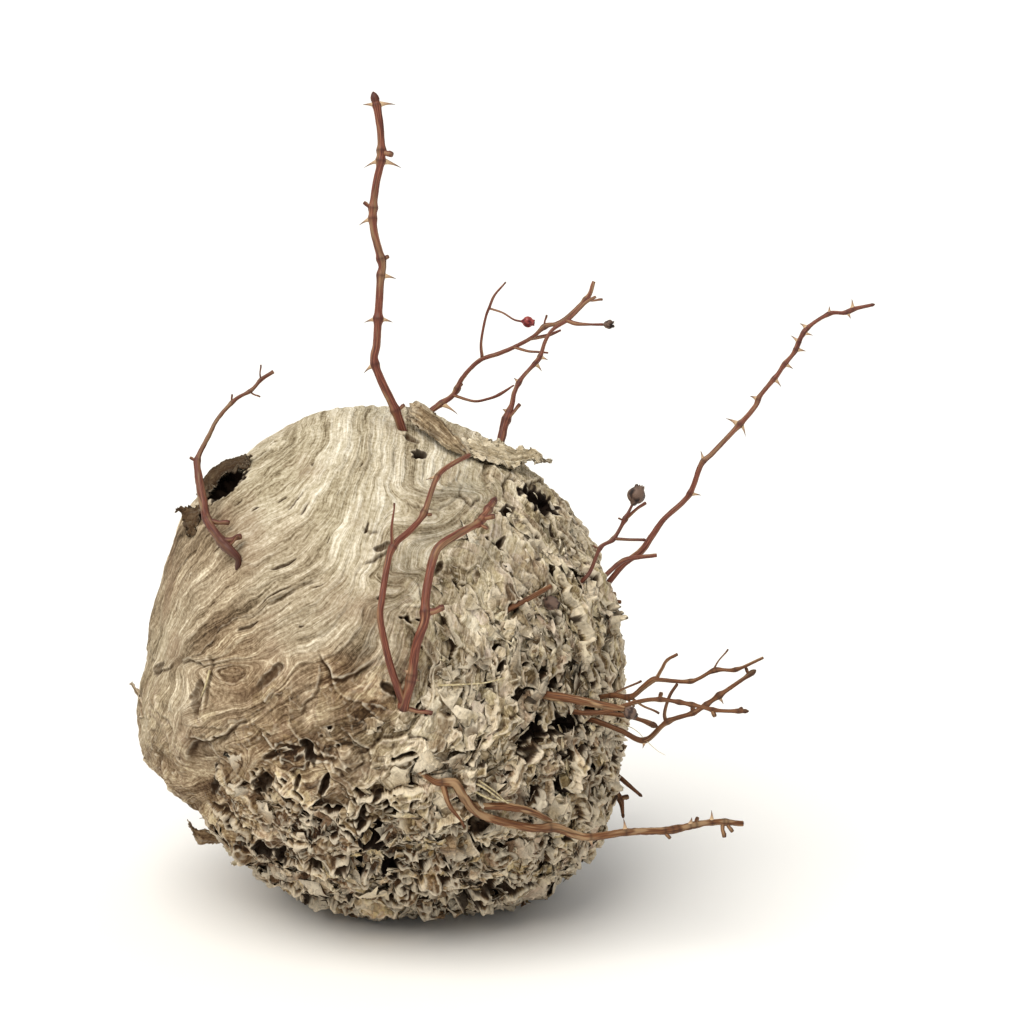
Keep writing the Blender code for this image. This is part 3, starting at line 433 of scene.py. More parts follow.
def reach_in(oval, front):
    """How far out in an oval (right, up, half length, half width, angle) places are shown, 1 at its rim."""
    middle_right, middle_up, length, width, angle = oval
    right, up = front[:, 0] - middle_right, front[:, 1] - middle_up
    lean = math.radians(angle)
    along = right * math.cos(lean) + up * math.sin(lean)
    across = up * math.cos(lean) - right * math.sin(lean)
    return np.hypot(along / length, across / width)


def tears_at(places):
    """How deep the holes known by place are torn, in millimetres, and how far inside one a place is."""
    front, facing = shown(places), places[:, 2] > -10
    ragged = ripples(places, (0.45, 5, 8), (0.22, 2.6, 9))
    depth, inside = np.zeros((2, len(places)))
    for *oval, deep in HOLES:
        reach = reach_in(oval, front) + ragged
        depth = np.maximum(depth, 0.6 * deep * ramp(reach, 1.05, 0.6) * facing)
        inside = np.maximum(inside, min(1.0, 0.15 + deep / 13) * ramp(reach, 1.22, 1.0) * facing)
    return depth, inside


def bulges_at(places):
    """How far single bulges stand out, in millimetres, and how calm the paper is on them, 0 to 1."""
    front = shown(places)
    lift, calm = np.zeros((2, len(places)))
    for *oval, height in BULGES:
        share = ramp(reach_in(oval, front), 1.15, 0.35) * (places[:, 2] > 0)
        lift += height * share
        calm = np.maximum(calm, share)
    return lift, calm


def beside_line(front, line):
    """How far places are to the left of a line, how far along it, and its length."""
    nearest = np.full(len(front), 99.0)
    side, run = np.zeros((2, len(front)))
    begun = 0.0
    for start, end in zip(line[:-1], line[1:]):
        way = end - start
        length = np.linalg.norm(way)
        gap = front - start
        along = np.clip(gap @ way / length ** 2, 0, 1)
        gap = gap - along[:, None] * way
        distance = np.linalg.norm(gap, axis=1)
        closer = distance < nearest
        nearest = np.where(closer, distance, nearest)
        side = np.where(closer, np.sign(way[0] * gap[:, 1] - way[1] * gap[:, 0]), side)
        run = np.where(closer, begun + along * length, run)
        begun += length
    return nearest * side, run, begun


def lips_at(places):
    """How far the edges of single sheets stand out, in millimetres, and how dark the shade beside them is."""
    front = shown(places) + 0.8 * np.stack([ripple(places, 4, layer) for layer in (48, 49)], axis=1)
    lift, shade = np.zeros((2, len(places)))
    for lip in LIPS.split("/"):
        *edge, (height, slope, drop, drop_width) = rows(lip)
        edge = np.array(edge)
        margin = 3 * max(slope, drop_width)
        inside = ((front > edge.min(axis=0) - margin) & (front < edge.max(axis=0) + margin)).all(axis=1)
        beside = np.flatnonzero(inside & (places[:, 2] > 0))
        off, run, length = beside_line(front[beside], edge)
        fade = ramp(run, 0, 0.22 * length) * ramp(length - run, 0, 0.22 * length)
        sheet = 0.65 * height * np.exp(-np.abs(off) / (6 + 1.5 * slope))
        low = -0.4 * drop * np.exp(-((off / drop_width) ** 2))
        lift[beside] += fade * (low + (sheet - low) * ramp(off, -0.7, 0.3))
        dark = fade * min(drop / 8, 0.6) * np.exp(-(((off + 0.7) / (0.35 * drop_width)) ** 2))
        shade[beside] = np.maximum(shade[beside], dark)
    return lift, shade


def slits_at(plain, flow):
    """How far inside a slit a place is, 0 to 1."""
    slit = np.zeros(len(plain))
    for right, up, length, width in SLITS:
        middle = on_plain(right, up)
        gap = np.linalg.norm(plain - middle, axis=1)
        beside = gap < 2 * length + 6
        across = flow[beside] - flow_at(middle[None], paper_at(middle[None])[0])[0]
        ragged = 0.5 * ripple(plain[beside], 2.5, 44)
        share = ramp((gap[beside] / length) ** 2 + (across / width) ** 2 + ragged, 1.2, 0.6)
        slit[beside] = np.maximum(slit[beside], share)
    return slit


def pits_at(places, pits):
    """The pits between crumpled sheets: depth in millimetres, how far inside one a place is, and the rim."""
    swirl = warped(drawn_round(places, 0.6), 11, 4.0, 31)
    hollow = ripples(swirl, (1, 11, 41), (0.75, 5.5, 42), (0.45, 2.7, 43))
    level = 1.05 - 1.3 * pits
    share = ramp(hollow, level, level + 0.2) * (pits > 0.03)
    rim = np.exp(-(((hollow - level + 0.1) / 0.11) ** 2)) * ramp(pits, 0.05, 0.3)
    return (3 + 4 * ramp(hollow, level, level + 0.8)) * share, share, rim


def broad_swell(places, crumple):
    """How far the paper stands out in bulges and in its larger folds, in millimetres."""
    swirl = warped(places * (1, 0.72, 1), 20, 6.0, 34)
    return ripples(places, (2.6, 55, 10), (1.4, 24, 11)) + 3.2 * folds(swirl, 19, 13) * ramp(crumple, 0.1, 0.8)


def scraps_at(places, crumple):
    """How far the scraps of crumpled paper stand out over one another, in millimetres, and their numbers."""
    swirl = warped(warped(drawn_round(places), 18, 7.0, 61), 5, 1.8, 64)
    large, number = plates(swirl, 19, 3)
    small, lesser = plates(warped(swirl, 3, 0.9, 67), 7, 4)
    varied = np.clip(0.7 + 1.2 * ripple(places, 25, 70), 0.15, 1.4)
    return ramp(crumple, 0.15, 0.8) * (4.8 * large + 1.5 * varied * small), 0.6 * number + 0.4 * lesser


def fine_folds(places, crumple):
    """The smaller folds and wrinkles of crumpled paper, in millimetres. They are finest towards the right."""
    swirl = warped(drawn_round(places, 0.55), 12, 4.0, 37)
    fineness = ramp(places[:, 0] + 0.3 * places[:, 1], -90, 70)
    coarse = (1.8 - 1.2 * fineness) * folds(swirl, 15, 14) + (0.7 + 0.6 * fineness) * folds(swirl, 7.5, 19)
    fine = (0.4 + 0.4 * fineness) * folds(swirl, 3.8, 20) + (0.25 + 0.15 * fineness) * folds(swirl, 2.0, 46)
    return ramp(crumple, 0.15, 0.8) * (1.25 * coarse + 0.7 * fine - 0.7)


def grain_at(places, flow):
    """The low ridges along the streaks, and the lumps of single mouthfuls of pulp, in millimetres."""
    relief = ripples(places, (0.45, 5.5, 17), (0.25, 2.6, 22))
    for height, width, share, layer in ((0.38, 5.0, 1.0, 15), (0.24, 1.9, 1.6, 16), (0.9, 13, 0.9, 71)):
        first, second = share * places[:, 0] / 15, share * (places[:, 1] + places[:, 2]) / 15
        relief += height * ripple(np.stack((flow / width, first, second), axis=1), 1.0, layer)
    return relief


# Making pieces ----------------------------------------------------------------------------------------


def put_down():
    bpy.ops.object.mode_set(mode="OBJECT")
    bpy.ops.object.select_all(action="DESELECT")


def coords_of(mesh):
    flat = np.zeros(len(mesh.vertices) * 3)
    mesh.vertices.foreach_get("co", flat)
    return flat.reshape(-1, 3)


def give_numbers(mesh, numbers):
    """Numbers for each point of a mesh, for its material to read."""
    for label, values in numbers.items():
        mesh.attributes.new(label, "FLOAT", "POINT").data.foreach_set("value", np.asarray(values, np.float32))


def sheet_mesh(name, points, faces, numbers, finishes, finish_of_face=None, fans=None):
    """A piece of points and four-cornered faces, and three-cornered fans, with its numbers and finishes."""
    fans = np.zeros((0, 3), int) if fans is None else fans
    mesh = bpy.data.meshes.new(name)
    mesh.vertices.add(len(points))
    mesh.vertices.foreach_set("co", np.asarray(points, np.float32).ravel())
    mesh.loops.add(faces.size + fans.size)
    mesh.loops.foreach_set("vertex_index", np.concatenate((faces.ravel(), fans.ravel())).astype(np.int32))
    mesh.polygons.add(len(faces) + len(fans))
    starts = np.concatenate((np.arange(0, faces.size, 4), faces.size + np.arange(0, fans.size, 3)))
    mesh.polygons.foreach_set("loop_start", starts.astype(np.int32))
    mesh.update(calc_edges=True)
    give_numbers(mesh, numbers)
    for finish in finishes:
        mesh.materials.append(finish)
    if finish_of_face is not None:
        mesh.polygons.foreach_set("material_index", np.asarray(finish_of_face, np.int32))
    mesh.shade_smooth()
    made = bpy.data.objects.new(name, mesh)
    bpy.context.scene.collection.objects.link(made)
    return made


# The nest's skin --------------------------------------------------------------------------------------

SKIN_CUTS = (12, 2, 3, 1)
SKIN_PULL = 0.34
REST_BAND = 3.0
SIDES_OF_SKIN = ("left", "right", "bottom", "top", "back", "front")


def settled(points):
    """World points, in metres, with all that would lie below the flat the nest rests on pressed onto it."""
    height = points[:, 2] / MM
    pressed = REST_BAND * np.exp(np.minimum((height - REST_BAND) / REST_BAND, 0))
    points[:, 2] = np.where(height < REST_BAND, np.maximum(0.2, pressed - 0.25), height) * MM
    return points


def cube_grid():
    """A finely divided cube: its points, its four-cornered faces, its edges and the side of each face."""
    bpy.ops.mesh.primitive_cube_add(size=2)
    made = bpy.context.object
    bpy.ops.object.mode_set(mode="EDIT")
    bpy.ops.mesh.select_all(action="SELECT")
    for cuts in SKIN_CUTS:
        bpy.ops.mesh.subdivide(number_cuts=cuts)
    put_down()
    points = coords_of(made.data)
    faces = np.zeros(len(made.data.loops), np.int32)
    made.data.loops.foreach_get("vertex_index", faces)
    edges = np.zeros(2 * len(made.data.edges), np.int32)
    made.data.edges.foreach_get("vertices", edges)
    bpy.data.objects.remove(made)
    faces = faces.reshape(-1, 4)
    middles = points[faces].mean(axis=1)
    axis = np.abs(middles).argmax(axis=1)
    side = 2 * axis + (np.take_along_axis(middles, axis[:, None], 1)[:, 0] > 0)
    return points, faces, edges.reshape(-1, 2), side


def evened(values, edges, rounds):
    """Numbers of points, each made the average of itself and its neighbours, several times over."""
    ends = edges.T.ravel()
    others = edges[:, ::-1].T.ravel()
    share = 1 / (1 + np.bincount(ends, minlength=len(values)))
    for _ in range(rounds):
        values = (values + np.bincount(ends, values[others], minlength=len(values))) * share
    return values


def normals_of(points, faces):
    """The way out at each point, from all the faces that meet there."""
    corners = points[faces]
    normals = np.cross(corners[:, 2] - corners[:, 0], corners[:, 3] - corners[:, 1])
    return unit(np.stack([
        np.bincount(faces.ravel(), np.repeat(normals[:, axis], 4), minlength=len(points)) for axis in range(3)
    ], axis=1))


def nest_skin(finish):
    """The whole skin of the nest, in six pieces that meet edge to edge."""
    points, faces, edges, side = cube_grid()
    ways = unit(unit(np.tan(points * math.pi / 4)) + (0, 0, SKIN_PULL))
    radius = plain_radius(ways)
    plain = ways * radius[:, None]
    crumple, pits, darker_tone = paper_at(plain)
    flow = flow_at(plain, crumple)
    strips, strip = strips_at(plain, crumple, flow)
    torn, inside = tears_at(plain)
    slit = slits_at(plain, flow)
    bulge, calm = bulges_at(plain)
    lip, shade = lips_at(plain)
    pit, in_pit, rim = (values * (1 - calm) for values in pits_at(plain, pits))
    crumple *= 1 - 0.7 * calm
    scraps, scrap = scraps_at(plain, crumple)
    relief = strips + scraps + fine_folds(plain, crumple) + grain_at(plain, flow) * (1 - inside) + 1.3 * rim
    relief += bulge + lip
    depth = np.maximum(torn, pit) + 1.3 * slit
    out = evened(radius + broad_swell(plain, crumple) + relief - depth, edges, 1)
    world_points = settled(world(ways * out[:, None] + 3.0 * crumple[:, None] * drift(plain, 9, 21)))
    normal = normals_of(world_points, faces)
    tone = 0.3 + 0.35 * np.modf(np.abs(np.sin(strip * 12.99)) * 437.5)[0]
    tone += ramp(crumple, 0.2, 0.5) * (scrap - tone)
    numbers = {
        "flow": flow, "crumple": crumple, "darker_tone": darker_tone, "tone": tone,
        # the finish paints shade where hollow and sunk are low and a highlight where hollow is high
        "hollow": 1.1 * (out - evened(out, edges, 9)), "sunk": out - evened(out, edges, 90),
        # dark paints shadow inside holes, pits and slits and beside the foot of lips
        "dark": np.clip(np.maximum.reduce((inside, 0.85 * in_pit, 0.6 * slit, shade)), 0, 1),
    }
    for index, name in enumerate(SIDES_OF_SKIN):
        used, where = np.unique(faces[side == index], return_inverse=True)
        chosen = {label: values[used] for label, values in numbers.items()}
        part = sheet_mesh("skin_" + name, world_points[used], where.reshape(-1, 4), chosen, [finish])
        part.data.normals_split_custom_set_from_vertices(normal[used].tolist())
        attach(part, "root")
        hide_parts("nest")


# Torn scales of paper ---------------------------------------------------------------------------------

SHEET = 0.35


def grid_faces(rows, columns):
    """The faces of a two-sided sheet: its upper side, its under side and its rim."""
    top = np.arange(rows * columns).reshape(rows, columns)
    under = top + rows * columns
    upper = np.stack((top[:-1, :-1], top[:-1, 1:], top[1:, 1:], top[1:, :-1]), axis=-1).reshape(-1, 4)
    lower = np.stack((under[:-1, :-1], under[1:, :-1], under[1:, 1:], under[:-1, 1:]), axis=-1).reshape(-1, 4)
    rim = np.concatenate((top[0, :-1], top[:-1, -1], top[-1, :0:-1], top[:0:-1, 0]))
    rim_under = rim + rows * columns
    around = np.stack((rim, rim_under, np.roll(rim_under, -1), np.roll(rim, -1)), axis=-1)
    return np.concatenate((upper, lower, around))


def thickened(top):
    """The points of sheets of (count, rows, columns, 3), with an under side that lies their thickness in."""
    out = unit(np.cross(np.gradient(top, axis=2), np.gradient(top, axis=1)))
    sides = (side.reshape(len(top), -1, 3) for side in (top, top - out * SHEET))
    return np.concatenate(tuple(sides), axis=1)


def scale_pieces(name, ways, heading, length, width, lift, curl, grid, finish, seed):
    """Scales of paper that grow out of the nest at unit directions, rooted in the skin and free at the end.

    Heading is the angle that a scale runs in, from the way round the nest. Lift is how far its free edge
    stands off the skin, and curl how far its sides arch over. Grid is its rows and columns of points.
    """
    count = len(ways)
    rows, columns = grid
    spin = np.random.default_rng(seed)
    over = unit(np.cross(np.array((0.0, 0.001, 1.0)), ways))
    rise = np.cross(ways, over)
    heading = heading + spin.normal(0, 1.2, count) * ramp(-ways[:, 1], 0.1, 0.6)
    along = np.cos(heading)[:, None] * over + np.sin(heading)[:, None] * rise
    side = np.cross(along, ways)
    length, width, lift, curl = (values[:, None, None] for values in (length, width, lift, curl))
    t = np.linspace(0, 1, rows)[None, :, None]
    s = np.linspace(-1, 1, columns)[None, None, :]
    jag = 0.24 * spin.uniform(-1, 1, (2, count, rows, columns))
    rim = np.where((s ** 2 > 0.98) | (t > 0.98), 1.0, 0.3)
    blunt = spin.uniform(0.25, 1.0, count)[:, None, None]
    belly = (0.6 + 0.55 * np.sin(np.pi * t) ** 0.8) * (1 - (1 - blunt) * t ** 2)
    skew = spin.uniform(-0.5, 0.5, count)[:, None, None] * t ** 2
    x = (s * belly + skew + jag[0] * rim) * width / 2
    y = (t - 0.35 - 0.18 * s ** 2 * t + jag[1] * rim * (t > 0.1)) * length
    arch = curl * (1 - s ** 2) * np.sin(np.pi * 0.7 * t)
    crumb = 0.1 * length * spin.uniform(-0.5, 0.5, (count, rows, columns)) * (0.3 + t)
    twist = spin.normal(0, 0.45, count)[:, None, None] * s * lift * t
    z = -1.4 * (1 - t) ** 2 + lift * t ** 1.4 + arch + crumb + twist
    middle = ways * plain_radius(ways)[:, None]
    flat = middle[:, None, None] + side[:, None, None] * x[..., None] + along[:, None, None] * y[..., None]
    spots = unit(flat.reshape(-1, 3))
    plain = spots * plain_radius(spots)[:, None]
    crumple, _, darker_tone = paper_at(plain)
    base = plain_radius(spots) + broad_swell(plain, crumple) + 0.6 * fine_folds(plain, crumple)
    top = spots * (base + z.ravel())[:, None] + 3.0 * crumple[:, None] * drift(plain, 9, 21)
    points = settled(world(thickened(top.reshape(count, rows, columns, 3)).reshape(-1, 3)))
    faces = grid_faces(rows, columns)
    faces = (faces + (np.arange(count) * 2 * rows * columns)[:, None, None]).reshape(-1, 4)
    stripe = y + 0.25 * x ** 2 / width + spin.random(count)[:, None, None] * 200
    edge = np.maximum(ramp(t, 0.6, 1.0), 0.8 * ramp(np.abs(s), 0.6, 1.0))
    high = 1.5 * edge + 0.25 * z
    # hollow paints a highlight on the free end and sides above; sunk and dark paint the under side in shade
    upper_and_under = {
        "flow": (stripe, stripe), "crumple": (crumple, crumple), "darker_tone": (darker_tone, darker_tone),
        "hollow": (0.6 * high, 0 * high), "sunk": (high, high - 2.5), "dark": (0 * z, 0 * z + 0.2),
    }
    numbers = {
        label: np.concatenate([values.reshape(count, -1) for values in pair], axis=1).ravel()
        for label, pair in upper_and_under.items()
    }
    numbers["tone"] = np.repeat(spin.random(count), 2 * rows * columns)
    made = sheet_mesh(name, points, faces, numbers, [finish])
    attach(made, "root")


def scatter(count, chance_of, seed):
    """Unit directions spread over the nest, where chance_of gives how likely a place is to keep one."""
    spin = np.random.default_rng(seed)
    ways = unit(spin.normal(size=(count * 8, 3)))
    kept = spin.random(len(ways)) < chance_of(ways * plain_radius(ways)[:, None])
    return ways[kept][:count]


def chance_of_scale(plain):
    """How likely a place is to carry a torn scale: likely where it is crumpled, not over a hole or a pit."""
    crumple, pits, _ = paper_at(plain)
    return ramp(crumple, 0.32, 0.9) * (1 - 0.9 * tears_at(plain)[1]) * (1 - 0.85 * pits_at(plain, pits)[1])


def torn_scales(finish):
    """Fibres, slivers, flakes and larger leaves of torn paper."""
    for name, most, shortest, longest, narrowest, widest, most_lift, grid, seed in (
        ("torn_fibres", 600, 6.0, 15.0, 0.05, 0.1, 2.6, (5, 3), 50),
        ("torn_slivers", 1500, 2.5, 6.5, 0.3, 1.0, 2.0, (4, 3), 51),
        ("torn_flakes", 1400, 6.0, 14.0, 0.35, 1.0, 2.8, (5, 5), 52),
        ("torn_leaves", 420, 12.0, 25.0, 0.35, 0.9, 4.0, (5, 5), 53),
    ):
        spin = np.random.default_rng(seed)
        ways = scatter(most, chance_of_scale, seed)
        count = len(ways)
        crumple = paper_at(ways * plain_radius(ways)[:, None])[0]
        length = spin.uniform(shortest, longest, count)
        heading = spin.normal(0, 0.6, count) + math.pi * spin.integers(0, 2, count)
        width = length * spin.uniform(narrowest, widest, count)
        lift = most_lift * spin.uniform(0.1, 1.0, count) ** 1.5 * (0.3 + 0.7 * crumple)
        curl = 0.1 * length * spin.uniform(-0.6, 1.6, count)
        scale_pieces(name, ways, heading, length, width, lift, curl, grid, finish, seed)


# Single sheets ----------------------------------------------------------------------------------------

# A sheet that stands free: rows of points (right, up, near), each row in the way its streaks run
SHEETS = {
    "top_flap": """
        16.8 144.6 50, 28.2 136.2 63, 40.2 127.8 70, 52.2 123 68 /
        18.6 149.5 54, 31.2 139.8 66, 42.6 130.2 73, 52.8 123.6 70 /
        21 155.5 52, 35.4 144.6 64, 45.6 133.8 72, 54 124.2 70 /
        31.2 151.5 44, 40.8 140.4 57, 48.6 131.4 66, 55.2 124.8 66""",
    "top_shelf": """
        46.8 135.6 36, 58.8 133.2 30, 71.4 131.4 26, 82.2 127.8 26, 92.4 125.4 26, 102.6 120 34 /
        51 129.6 56, 60 126.6 54, 72.6 124.8 46, 81.6 122.4 40, 91.2 122.4 33, 102.6 119.7 34 /
        53.4 124.8 66, 61.2 120.6 68, 73.2 117.6 59, 80.4 115.6 51, 90 119.4 40, 102.6 119.4 35""",
    "left_hood": """
        -107.4 99.6 12, -103.2 109.2 8, -95.4 116.4 8, -85.2 120.6 22, -76.8 120.6 46 /
        -107.5 99 38, -103.6 109 32, -95.6 117 32, -85.2 120.8 42, -77 120.8 56 /
        -104.4 96 56, -99.6 104.4 54, -92.4 111 55, -84 115.2 60, -78 116.4 64""",
    "left_tongue": """
        -123 90 45, -117 91.8 48, -109.8 93.6 52, -104.4 92.4 60 /
        -118.2 87 52, -114.6 86.4 56, -109.8 87.6 62, -106.2 89.4 64 /
        -117 81.6 52, -114 81.6 60, -110.4 83.4 66, -107.4 86.4 66 /
        -115.2 76.2 57, -113.4 74.4 64, -111 77.4 68, -108.6 82.8 66""",
    "left_spike": """
        -150 -13.8 42, -147 -17.4 42, -144 -25.2 42, -142.8 -34.8 44 /
        -148.2 -14.4 45, -144.6 -18.6 47, -141.6 -25.8 50, -141 -34.8 52""",
    "brown_flake": """
        -114 -95.4 14, -110.4 -100.2 16, -103.8 -102 20, -93 -104 30 /
        -113.4 -99.6 18, -109.2 -105 20, -102.6 -106.2 24, -92 -106.8 34 /
        -112.2 -103.8 18, -106.2 -110.4 20, -99.6 -109.8 24, -91 -109.2 34""",
    "pale_flake": """
        -94.2 -111 34, -87.6 -112.8 42, -76 -113 55 /
        -91.8 -114 36, -85.2 -115.8 44, -75.4 -115.2 56 /
        -89.4 -115.8 34, -83.4 -118.2 42, -75.4 -117 50""",
    "low_flake": """
        -89.4 -121.2 26, -81.6 -118.8 34, -70 -119 46 /
        -87.6 -123 26, -81 -121.2 34, -69.4 -122 40""",
}
SHEET_STEP = 1.1
# How much darker each sheet's colour is, where it isn't a quarter.
# Up to 1 it moves to the darker, browner ramp. Beyond 1 its upper side is darkened further.
SHEET_DARKENING = {"left_hood": 2.3, "left_tongue": 2.0, "brown_flake": 1.35, "left_spike": 0.8, "top_flap": 0.8}
# How wrinkled each sheet is, where it isn't as most are
WRINKLED = {"top_shelf": 1.9, "left_hood": 1.5, "left_tongue": 1.6}


def free_sheet(name, knots, finish):
    """A sheet of paper through its rows of points, wrinkled, with torn edges and an under side."""
    knots = unshifted(np.array(knots))
    reach = np.linalg.norm(np.diff(knots, axis=1), axis=2).sum(axis=1).max()
    spread = np.linalg.norm(np.diff(knots, axis=0), axis=2).sum(axis=0).max()
    down, over = max(4, int(spread / SHEET_STEP)), max(5, int(reach / SHEET_STEP))
    grid = through(through(knots, down).swapaxes(0, 1), over).swapaxes(0, 1)
    out = unit(np.cross(np.gradient(grid, axis=1), np.gradient(grid, axis=0)))
    if out[..., 2].mean() < 0:
        grid, out = grid[::-1], -out[::-1]
    flat, out = grid.reshape(-1, 3), out.reshape(-1, 3)
    across = np.repeat(np.linspace(0, spread, down), over)
    ridges = ripple(np.stack((across / 2.2, *(flat[:, :2].T / 14)), axis=1), 1.0, 51)
    wrinkled, darkening = WRINKLED.get(name, 1.0), SHEET_DARKENING.get(name, 0.25)
    flat = flat + out * (ridges + wrinkled * ripples(flat, (0.9, 6, 52), (0.5, 2.5, 53)))[:, None]
    s, t = np.meshgrid(np.linspace(-1, 1, over), np.linspace(-1, 1, down))
    edge = np.maximum(ramp(np.abs(s), 0.5, 1), ramp(np.abs(t), 0.5, 1)).ravel()
    tear = drift(flat, 3.2, 54) + 0.7 * drift(flat, 1.5, 57)
    flat = flat + 1.5 * min(wrinkled, 1.6) * tear * (0.2 + 0.8 * edge)[:, None]
    points = settled(world(thickened(flat.reshape(1, down, over, 3)).reshape(-1, 3)))
    # hollow paints a highlight on ridges and edges and shade between them; sunk paints shade in low wrinkles
    upper_and_under = {
        "flow": (across,) * 2, "crumple": (0.5,) * 2, "tone": (0.5,) * 2, "darker_tone": (min(1.0, darkening),) * 2,
        "hollow": (0.9 * ridges + 0.4 * edge,) * 2, "sunk": (2.0 * ripple(flat, 6, 52),) * 2,
        # dark: the under side is painted shade; the upper side is darkened further on sheets valued over 1
        "dark": (0.5 * max(darkening - 1, 0), 0.2),
    }
    numbers = {
        label: np.concatenate([values + 0 * across for values in pair])
        for label, pair in upper_and_under.items()
    }
    made = sheet_mesh(name, points, grid_faces(down, over), numbers, [finish])
    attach(made, "root")


# Finishes ---------------------------------------------------------------------------------------------


def linear(code):
    """The linear colour of an sRGB hex code."""
    parts = [int(code[start : start + 2], 16) / 255 for start in (1, 3, 5)]
    return (*(part / 12.92 if part <= 0.04045 else ((part + 0.055) / 1.055) ** 2.4 for part in parts), 1.0)


def connect(node, inputs):
    """Feeds a node's inputs, in order or by name, with values, outputs, or nodes for their first output."""
    for key, value in inputs.items() if isinstance(inputs, dict) else enumerate(inputs):
        if isinstance(value, bpy.types.Node):
            value = next(output for output in value.outputs if output.enabled)
        if isinstance(value, bpy.types.NodeSocket):
            node.id_data.links.new(value, node.inputs[key])
        else:
            node.inputs[key].default_value = value


def add(tree, kind, inputs=(), stops=(), **settings):
    """Adds a node with its settings and inputs. Stops are a ramp's (place, colour code)."""
    made = tree.nodes.new("ShaderNode" + kind)
    for key, value in settings.items():
        setattr(made, key, value)
    connect(made, inputs)
    for _ in stops[2:]:
        made.color_ramp.elements.new(0.5)
    for number, (place, code) in enumerate(stops):
        made.color_ramp.elements[number].position = place
        made.color_ramp.elements[number].color = linear(code)
    return made


def new_finish(name, colour, roughness, ior, specular):
    """A material, the function that adds a node to it, and its shader."""
    made = bpy.data.materials.new(name)
    made.use_nodes = True
    shader = made.node_tree.nodes["Principled BSDF"]
    inputs = {"Base Color": linear(colour), "Roughness": roughness, "IOR": ior}
    inputs["Specular IOR Level"] = specular
    connect(shader, inputs)
    made.diffuse_color = linear(colour)
    return made, partial(add, made.node_tree), shader


def numbers_of(node, *names):
    """The numbers that the mesh gives to each of its points."""
    return [node("Attribute", attribute_name=name).outputs["Fac"] for name in names]


def mixed_over(node, colour, source, start, end, most, code):
    """Colour, with up to that much of another one where the source goes from start to end."""
    share = node("MapRange", {"Value": source, "From Min": start, "From Max": end, "To Max": most})
    return node("Mix", {"Factor": share, "A": colour, "B": linear(code)}, data_type="RGBA")


